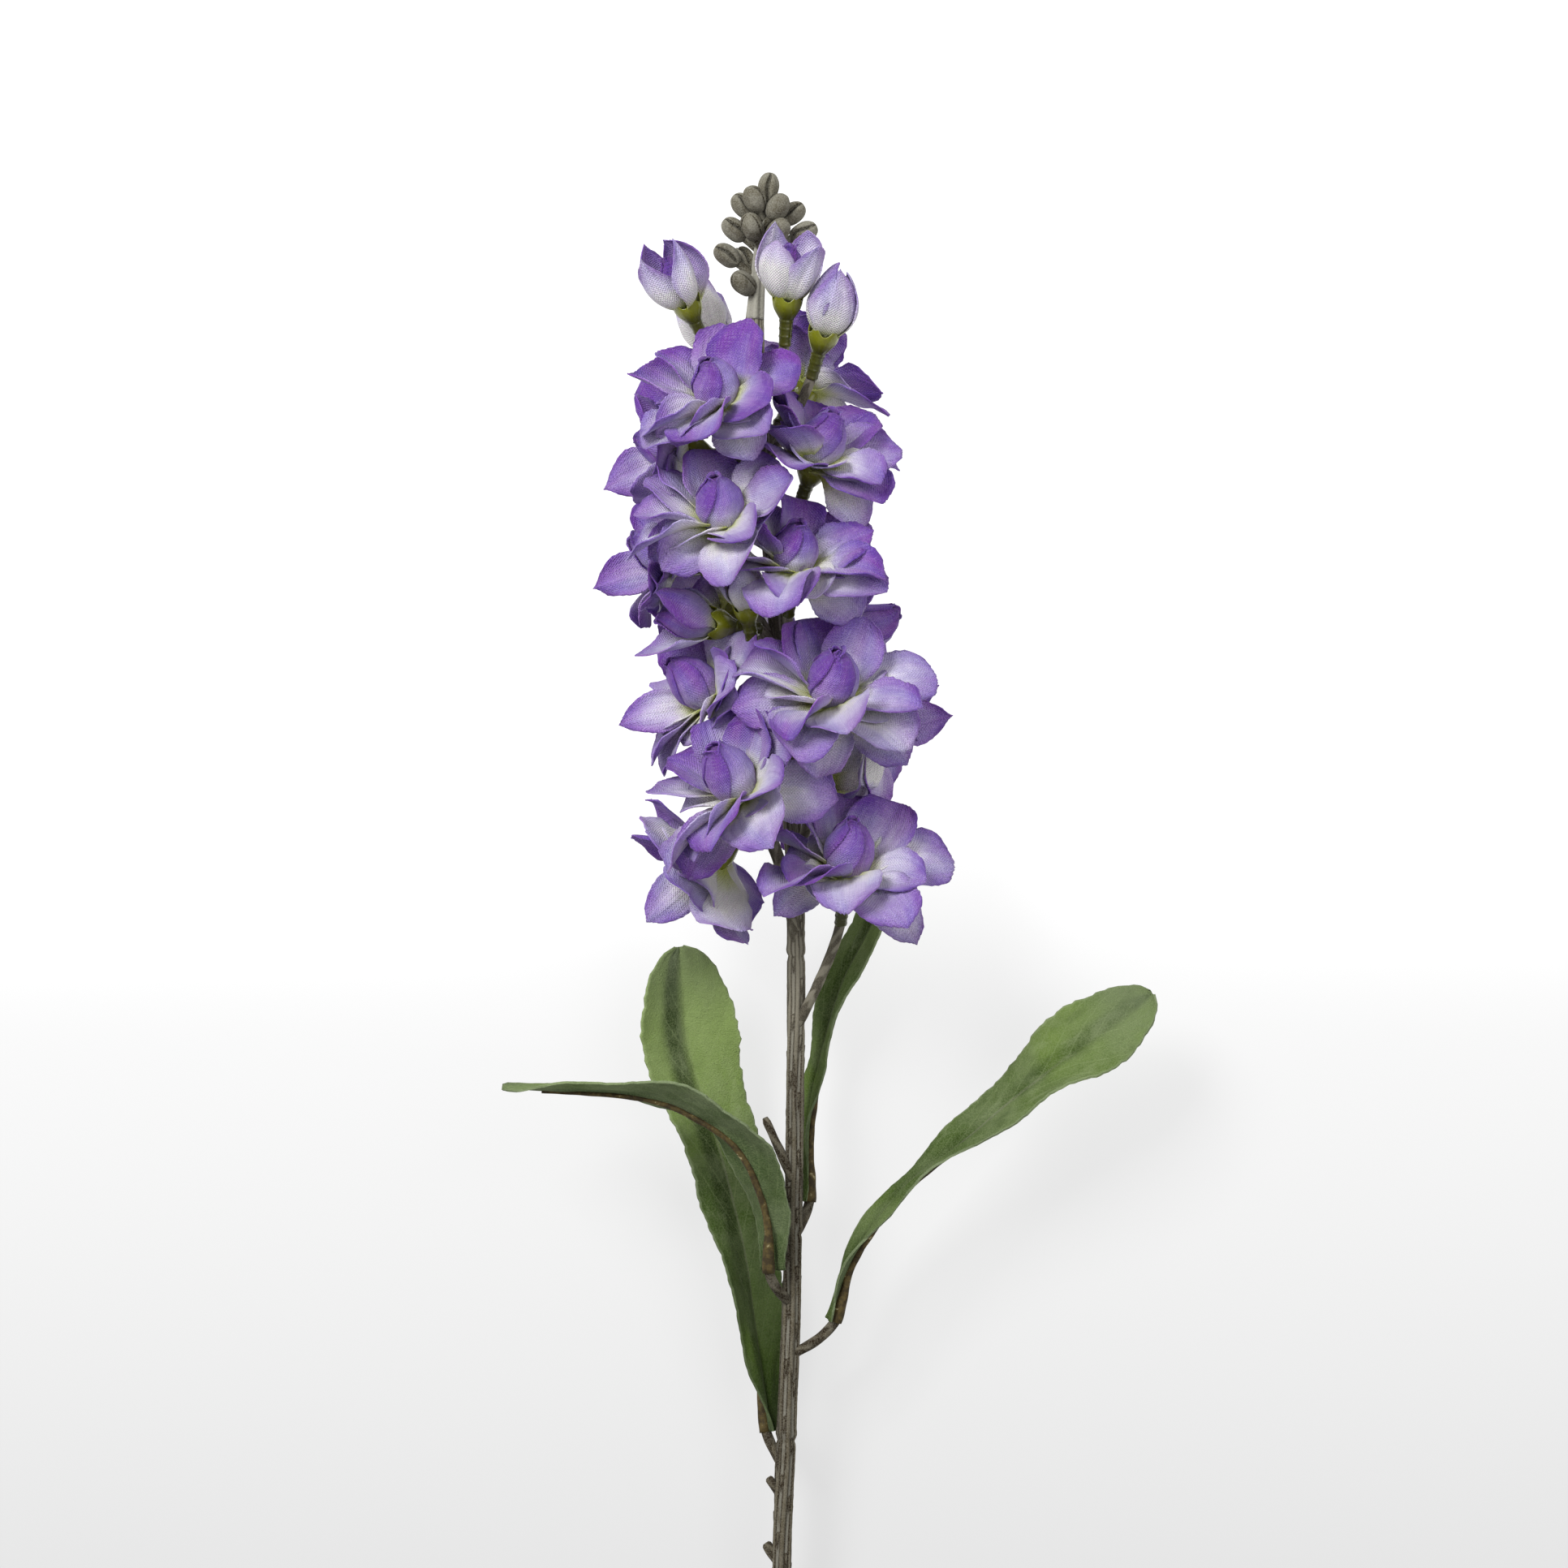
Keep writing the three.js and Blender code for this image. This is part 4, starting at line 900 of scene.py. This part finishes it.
def maths(operation, *values):
    """One operation of the math node on numbers or outputs."""
    return add("Math", dict(enumerate(values)), operation=operation)[0]


def times(a, b):
    """a times b."""
    return maths("MULTIPLY", a, b)


def weighted(a, share, b):
    """a times share, plus b."""
    return maths("MULTIPLY_ADD", a, share, b)


def magnitude(a):
    """a without its sign."""
    return maths("ABSOLUTE", a)


def noise(vector, scale, detail=2.0, rough=0.5):
    """Cloudy noise from 0 to 1: the higher the scale the finer, and the detail adds finer steps."""
    return add("TexNoise", {"Vector": vector, "Scale": scale, "Detail": detail, "Roughness": rough})["Fac"]


def ranged(value, low, high, to_low=0.0, to_high=1.0, kind="SMOOTHSTEP"):
    """to_low where the value is low, to_high where it is high, and between them eased or linear."""
    inputs = {"Value": value, "From Min": low, "From Max": high, "To Min": to_low, "To Max": to_high}
    return add("MapRange", inputs, interpolation_type=kind)["Result"]


def mix(factor, a, b):
    """A colour: a where the factor is 0, b where it is 1, and a blend between."""
    return add("Mix", {0: factor, 6: a, 7: b}, data_type="RGBA")[2]


def coats(colour, *layers):
    """A colour under layers of others, each laid on as far as its factor says."""
    for factor, layer in layers:
        colour = mix(factor, colour, layer)
    return colour


def ramp(value, first, *middle, last):
    """A colour that runs with the value from first at 0 through the middle ones to last at 1."""
    colour = add("ValToRGB", {"Fac": value})["Color"]
    elements = colour.node.color_ramp.elements
    elements[0].color, elements[1].color = first, last
    for position, stop in middle:
        elements.new(position).color = stop
    return colour


def split(vector):
    """The three numbers of a vector."""
    return add("SeparateXYZ", {0: vector})


def join(x, y, z):
    """A vector made of three numbers."""
    return add("CombineXYZ", {0: x, 1: y, 2: z})[0]


def scaled(vector, x, y, z):
    """A vector with each of its three numbers multiplied."""
    return add("VectorMath", {0: vector, 1: (x, y, z)}, operation="MULTIPLY")[0]


def bump(height, distance, strength, **under):
    """The normal of a relief, laid over another one's Normal where that is given."""
    return add("Bump", {"Height": height, "Distance": distance, "Strength": strength, **under})["Normal"]


def new_group(name, inputs, outputs):
    """A shader node group with named inputs, each with its kind, and named numbers as outputs: its tree,
    the outputs that bring what it is given, and the inputs that take what it gives."""
    tree = bpy.data.node_groups.new(name, "ShaderNodeTree")
    for label, kind in inputs.items():
        tree.interface.new_socket(name=label, in_out="INPUT", socket_type="NodeSocket" + kind)
    for label in outputs:
        tree.interface.new_socket(name=label, in_out="OUTPUT", socket_type="NodeSocketFloat")
    return tree, tree.nodes.new("NodeGroupInput").outputs, tree.nodes.new("NodeGroupOutput").inputs


def weave_group():
    """Plain weave: the product of a sine across and a sine along the cloth, in threads of a given
    pitch. Height rises where one thread passes over, Gap is near 1 in the holes between threads, and
    Slub is noise drawn out along the threads of both directions, for threads thicker than others."""
    tree, given, wanted = new_group(
        "Plain weave", {"Cloth": "Vector", "Pitch": "Float"}, ("Height", "Gap", "Slub"),
    )
    across, along, _ = split(given["Cloth"])
    turns = [times(maths("DIVIDE", way, given["Pitch"]), 2 * math.pi) for way in (across, along)]
    one, two = (maths("SINE", turn) for turn in turns)
    feed(wanted["Height"], weighted(times(one, two), 0.5, 0.5))
    feed(wanted["Gap"], ranged(times(magnitude(one), magnitude(two)), 0.55, 0.95))
    warp = noise(scaled(given["Cloth"], 2.6, 0.22, 1), 1.0, 1)
    weft = noise(scaled(given["Cloth"], 0.22, 2.6, 1), 1.0, 1)
    feed(wanted["Slub"], weighted(warp, 0.5, times(weft, 0.5)))
    return tree


def flock_group():
    """Flock: very fine speckle for the height of the fibres, and broad soft patches where they are worn."""
    tree, given, wanted = new_group(
        "Flock", {"Vector": "Vector", "Fine": "Float", "Broad": "Float"}, ("Height", "Speckle", "Patch"),
    )
    fine = noise(given["Vector"], given["Fine"], 3)
    broad = noise(given["Vector"], given["Broad"], 4)
    feed(wanted["Height"], fine)
    feed(wanted["Speckle"], ranged(fine, 0.38, 0.62))
    feed(wanted["Patch"], ranged(broad, 0.4, 0.62))
    return tree


WEAVE = weave_group()
FLOCK = flock_group()
SHARED_VALUES = {"Sheen Roughness": 0.4, "Subsurface Scale": 0.0012, "Subsurface Radius": (1.0, 0.8, 1.0)}


def new_material(name, values):
    """A material, its tree and the inputs of its shader, with the shared and the given values set."""
    material = bpy.data.materials.new(name)
    material.use_nodes = True
    shader = material.node_tree.nodes["Principled BSDF"].inputs
    for label, value in {**SHARED_VALUES, **values}.items():
        shader[label].default_value = value
    return material, material.node_tree, shader


def petal_material():
    """Woven petal cloth, dyed from green at the claw through cream to lilac and a violet edge. The dye is
    deeper with the way along, towards the edge, with the tone and by two noises, and its hue drifts."""
    material, tree, shader = new_material("petal fabric", {
        "Roughness": 0.78, "Specular IOR Level": 0.2, "Subsurface Weight": 0.25,
        "Sheen Weight": 0.13, "Sheen Tint": paint(236, 230, 236),
    })
    u, s, tone = split(attribute(tree, "read"))
    side = magnitude(u)
    cloud = noise(place_in(tree), 85, 3)
    streak = noise(join(times(u, 3.2), times(s, 1.1), times(tone, 40)), 2.4, 3)
    depth = s
    for value, share in ((maths("POWER", side, 2.0), 0.2), (cloud, 0.7), (streak, 0.22), (tone, 0.8)):
        depth = weighted(value, share, depth)
    dye = ramp(
        ranged(depth, 0.95, 1.86, kind="LINEAR"), paint(224, 221, 219), (0.24, paint(200, 193, 217)),
        (0.5, paint(160, 143, 192)), (0.74, paint(138, 107, 180)), last=paint(108, 64, 157),
    )
    drift = noise(join(times(tone, 9.0), s, u), 1.3, 2)
    hue = ranged(drift, 0.36, 0.64, 0.485, 0.515, kind="LINEAR")
    rim = maths("MAXIMUM", ranged(side, 0.93, 1.0), ranged(s, 0.955, 1.0))
    weave = add("Group", {"Cloth": attribute(tree, "cloth"), "Pitch": 0.9}, node_tree=WEAVE)
    slub = weave["Slub"]
    colour = coats(
        add("HueSaturation", {"Hue": hue, "Color": dye})["Color"],
        (ranged(weighted(cloud, 0.2, s), 0.54, 0.27), paint(182, 190, 100)),
        (times(rim, ranged(s, 0.3, 0.55, 0.0, 0.1)), paint(104, 76, 146)),
        # Painted shade in the holes between the threads.
        (times(weave["Gap"], 0.3), paint(88, 72, 118)),
        (ranged(slub, 0.5, 0.62, 0.0, 0.08), paint(238, 232, 244)),
        (ranged(slub, 0.5, 0.38, 0.0, 0.1), paint(84, 62, 124)),
    )
    feed(shader["Base Color"], colour)
    creases = noise(join(times(u, 6.0), times(s, 1.3), tone), 2.0, 2)
    folded = bump(creases, 0.0014, 0.45)
    threads = bump(slub, 0.0004, 0.25, Normal=folded)
    feed(shader["Normal"], bump(weave["Height"], 0.0003, 0.8, Normal=threads))
    return material


def cup_material():
    """Olive plastic with a soft gloss, darker down the stalk and yellower towards the lip."""
    material, tree, shader = new_material("cup plastic", {
        "Specular IOR Level": 0.5, "Subsurface Weight": 0.1, "Coat Weight": 0.22,
    })
    place = place_in(tree)
    lip = split(attribute(tree, "read"))[0]
    mottle = noise(place, 260, 3)
    colour = coats(
        paint(62, 64, 12),
        (ranged(weighted(mottle, 0.5, lip), 0.2, 1.2), paint(116, 120, 22)),
        (ranged(mottle, 0.55, 0.75, 0.0, 0.45), paint(96, 84, 36)),
    )
    feed(shader["Base Color"], colour)
    feed(shader["Roughness"], ranged(mottle, 0.3, 0.7, 0.18, 0.36))
    feed(shader["Normal"], bump(noise(place, 700, 2), 0.0003, 0.35))
    return material


def flock_material(name, base, worn, dust_and_light, dark, groove_dust_and_shade, dust_and_light_above):
    """Flocked plastic: worn in patches on the ridges, with painted shade along their flanks and in dark
    stretches along the stem, and the deep grooves in a colour of their own. It is lighter up the stem,
    partly dusted and partly painted light, all under a fine pale nap."""
    material, tree, shader = new_material(name, {
        "Roughness": 0.93, "Specular IOR Level": 0.08,
        "Sheen Weight": 0.1, "Sheen Tint": paint(220, 215, 205),
    })
    place = place_in(tree)
    groove, _, tone = split(attribute(tree, "read"))
    flock = add("Group", {"Vector": place, "Fine": 2600.0, "Broad": 190.0}, node_tree=FLOCK)
    streak = noise(scaled(place, 900, 60, 900), 1.0, 3)
    shade = noise(scaled(place, 160, 45, 160), 1.0, 2)
    flank = times(ranged(groove, 0.2, 0.42), ranged(groove, 0.85, 0.6))
    deep = times(ranged(groove, 0.6, 0.85), ranged(streak, 0.3, 0.46))
    dust_and_light_mask = ranged(split(place)[1], 0.03, 0.085, 0.0, dust_and_light_above)
    colour = coats(
        base,
        (flock["Patch"], worn),
        (ranged(streak, 0.52, 0.7, 0.0, 0.35), dark),
        # Painted shade on the flanks of the ridges and clefts.
        (flank, dark),
        # The deep grooves: pale dust on the stem, near-black painted shade in the buds' clefts.
        (times(deep, 0.85), groove_dust_and_shade),
        # Painted shade: dark stretches along the stem.
        (ranged(shade, 0.5, 0.66, 0.0, 0.4), dark),
        # Lighter up the stem: pale dust and painted light against the shade of the blooms.
        (times(dust_and_light_mask, ranged(flank, 0.0, 1.0, 1.0, 0.35)), dust_and_light),
        (ranged(tone, 1.2, 1.4, 0.0, 0.6), dust_and_light),
        (times(flock["Speckle"], 0.24), dust_and_light),
    )
    feed(shader["Base Color"], colour)
    coarse = bump(streak, 0.0006, 0.5)
    feed(shader["Normal"], bump(flock["Height"], 0.0004, 0.7, Normal=coarse))
    return material


def leaf_material():
    """Velvet leaf cloth: mottled green above with painted shade along the fold, paler veins and a grey nap,
    greyer underneath, with painted shade at the foot, and with painted light and then grey towards the tip."""
    material, tree, shader = new_material("leaf fabric", {
        "Roughness": 0.95, "Specular IOR Level": 0.05, "Subsurface Weight": 0.06,
        "Sheen Weight": 0.1, "Sheen Tint": paint(205, 215, 180),
    })
    place, cloth = place_in(tree), attribute(tree, "cloth")
    u, s, tone = split(attribute(tree, "read"))
    side = magnitude(u)
    flock = add("Group", {"Vector": place, "Fine": 2300.0, "Broad": 75.0}, node_tree=FLOCK)
    # Painted shade: a dark band beside the midrib where the fold is shaded, as strong as the leaf's tone.
    fold = times(ranged(magnitude(weighted(tone, 0.3, u)), 0.36, 0.08), tone)
    upper = coats(
        paint(66, 85, 38),
        (ranged(noise(place, 34, 4), 0.4, 0.62), paint(92, 114, 50)),
        (times(fold, 0.85), paint(30, 44, 12)),
        (times(flock["Patch"], 0.5), paint(104, 116, 82)),
    )
    lower = mix(flock["Patch"], paint(98, 110, 80), paint(74, 90, 56))
    vein = times(weighted(side, -VEIN_SLANT, times(s, VEIN_COUNT)), math.pi)
    veins = ranged(magnitude(maths("SINE", vein)), 0.22, 0.02)
    midrib = times(ranged(side, 0.07, 0.02), ranged(s, 0.9, 0.5))
    blotch = noise(scaled(cloth, 0.16, 0.07, 1), 1.0, 4, 0.62)
    low = times(ranged(s, 0.75, 0.1), weighted(tone, 0.6, 0.1))
    high = times(ranged(s, 0.5, 0.85, 0.0, 0.6), maths("SUBTRACT", tone, fold))
    colour = coats(
        upper,
        (split(cloth)[2], lower),
        (times(veins, 0.3), paint(124, 138, 96)),
        (times(midrib, 0.4), paint(124, 122, 108)),
        (times(ranged(side, 0.93, 1.0), 0.6), paint(142, 154, 122)),
        (times(flock["Speckle"], 0.24), paint(138, 150, 108)),
        (ranged(blotch, 0.52, 0.66, 0.0, 0.35), paint(50, 66, 30)),
        (ranged(blotch, 0.44, 0.34, 0.0, 0.22), paint(138, 150, 112)),
        # Painted shade: darker towards the foot, stronger on leaves with a higher tone.
        (low, paint(32, 46, 10)),
        # Painted light: lighter towards the tip outside the fold's painted shade, as strong as the leaf's
        # tone.
        (high, paint(142, 162, 98)),
        (ranged(s, 0.8, 1.0, 0.0, 0.45), paint(100, 108, 88)),
    )
    feed(shader["Base Color"], colour)
    rumpled = bump(noise(place, 150, 3), 0.0016, 0.5)
    feed(shader["Normal"], bump(flock["Height"], 0.0005, 0.7, Normal=rumpled))
    return material


def rib_material():
    """Brown coated wire in two shades, rubbed and flaking to a light tan."""
    material, tree, shader = new_material("rib plastic", {"Roughness": 0.7, "Specular IOR Level": 0.3})
    patches = noise(place_in(tree), 420, 4, 0.65)
    colour = coats(
        paint(52, 42, 20),
        (ranged(patches, 0.4, 0.62), paint(82, 69, 34)),
        (ranged(patches, 0.62, 0.7), paint(160, 150, 112)),
    )
    feed(shader["Base Color"], colour)
    feed(shader["Normal"], bump(patches, 0.0006, 0.6))
    return material


MATERIALS = {
    "petal_fabric": petal_material(),
    "cup_plastic": cup_material(),
    # The stem: pale dust in its grooves, painted shade on their flanks and in dark stretches, and painted
    # light with the dust up the stem.
    "stem_flock": flock_material(
        "stem flock", base=paint(98, 93, 80), worn=paint(82, 75, 60), dust_and_light=paint(151, 146, 131),
        dark=paint(38, 29, 16), groove_dust_and_shade=paint(118, 116, 107), dust_and_light_above=0.7,
    ),
    # The tip buds: near-black painted shade deep in their clefts and painted shade on the clefts' flanks.
    "bud_flock": flock_material(
        "bud flock", base=paint(122, 119, 106), worn=paint(92, 87, 72), dust_and_light=paint(182, 180, 168),
        dark=paint(56, 50, 34), groove_dust_and_shade=paint(18, 13, 5), dust_and_light_above=0.0,
    ),
    "leaf_fabric": leaf_material(),
    "rib_plastic": rib_material(),
}


# The stem, piece by piece.
def show(thing):
    """Puts an object into the scene, and gives it back."""
    bpy.context.scene.collection.objects.link(thing)
    return thing


def make_piece(name, parts, node, slot):
    """Joins parts into one mesh, lays it in place, and lets it stand for a solid of the frame."""
    faces, smooth_faces = [], []
    offset = 0
    for part in parts:
        faces += (part["quads"] + offset).tolist() + (part["tris"] + offset).tolist()
        count = len(part["quads"]) + len(part["tris"])
        smooth_faces.append(np.arange(count) < count - part["flat"])
        offset += len(part["points"])
    mesh = bpy.data.meshes.new(name)
    mesh.from_pydata(placed(np.concatenate([part["points"] for part in parts])).tolist(), [], faces)
    mesh.polygons.foreach_set("use_smooth", np.concatenate(smooth_faces))
    for key in ("read", "cloth"):
        values = np.concatenate([part[key] for part in parts])
        layer = mesh.attributes.new(key, "FLOAT_VECTOR", "POINT")
        layer.data.foreach_set("vector", values.astype(np.float32).ravel())
    mesh.materials.append(MATERIALS[slot])
    mesh.update()
    piece = show(bpy.data.objects.new(name, mesh))
    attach(piece, "root")
    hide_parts(node)


make_piece("flocked_stem", main_stem_parts(), "main_stem", "stem_flock")
make_piece("closed_tip_buds", tip_parts(), "tip_buds", "bud_flock")
for flower in flowers:
    name = flower.name
    make_piece(f"{name}_cloth_petals", flower_parts(flower), f"{name}_petals", "petal_fabric")
    make_piece(f"{name}_ringed_cup", cup_parts(flower), f"{name}_cup", "cup_plastic")
for leaf in LEAVES:
    name = leaf.name
    make_piece(f"{name}_velvet_blade", leaf_parts(leaf), name, "leaf_fabric")
    make_piece(f"{name}_wire_rib", rib_parts(leaf), f"{name}_rib", "rib_plastic")

# The floor, the light and the camera.
floor_mesh = bpy.data.meshes.new("floor")
floor_mesh.from_pydata(
    [(x * FLOOR_HALF, y * FLOOR_HALF, -FLOOR_DROP) for x, y in ((-1, -1), (1, -1), (1, 1), (-1, 1))],
    [], [(0, 1, 2, 3)],
)
floor_paint, floor_tree, floor_shader = new_material("pale floor", {
    "Roughness": 0.9, "Base Color": FLOOR_GREY, "Emission Color": WHITE,
})
# The glow is painted light over a dark grey of the floor's own, rising along the floor to wash out the
# shadows cast on it.
floor_along = split(place_in(floor_tree))[1]
floor_glows = (ranged(floor_along, *glow) for glow in FLOOR_GLOWS)
feed(floor_shader["Emission Strength"], maths("ADD", *floor_glows))
floor_mesh.materials.append(floor_paint)
floor = show(bpy.data.objects.new("floor", floor_mesh))

world = bpy.data.worlds.new("studio")
world.use_nodes = True
world.node_tree.nodes["Background"].inputs["Color"].default_value = WHITE
world.node_tree.nodes["Background"].inputs["Strength"].default_value = WORLD_STRENGTH
bpy.context.scene.world = world

for name, place, size, watts in LIGHTS:
    light = bpy.data.lights.new(name, "AREA")
    light.size = size
    light.energy = watts
    lamp = show(bpy.data.objects.new(name, light))
    lamp.location = place
    lamp.rotation_euler = Vector(np.subtract(place, LIGHT_AIM)).to_track_quat("Z", "Y").to_euler()

camera_data = bpy.data.cameras.new("camera")
camera_data.sensor_width = SENSOR_WIDTH
camera_data.lens = SENSOR_WIDTH * CAMERA_REACH / VIEW_WIDTH
camera_data.clip_end = 50
camera = show(bpy.data.objects.new("camera", camera_data))
camera.location = (
    SHIFT_X * 0.001,
    (SHIFT_Y - CAMERA_REACH * math.sin(LYING_TILT)) * 0.001,
    (GROUND_DROP + CAMERA_REACH * math.cos(LYING_TILT)) * 0.001,
)
camera.rotation_euler = (LYING_TILT, 0, 0)
bpy.context.scene.camera = camera
bpy.context.scene.view_settings.view_transform = "Standard"
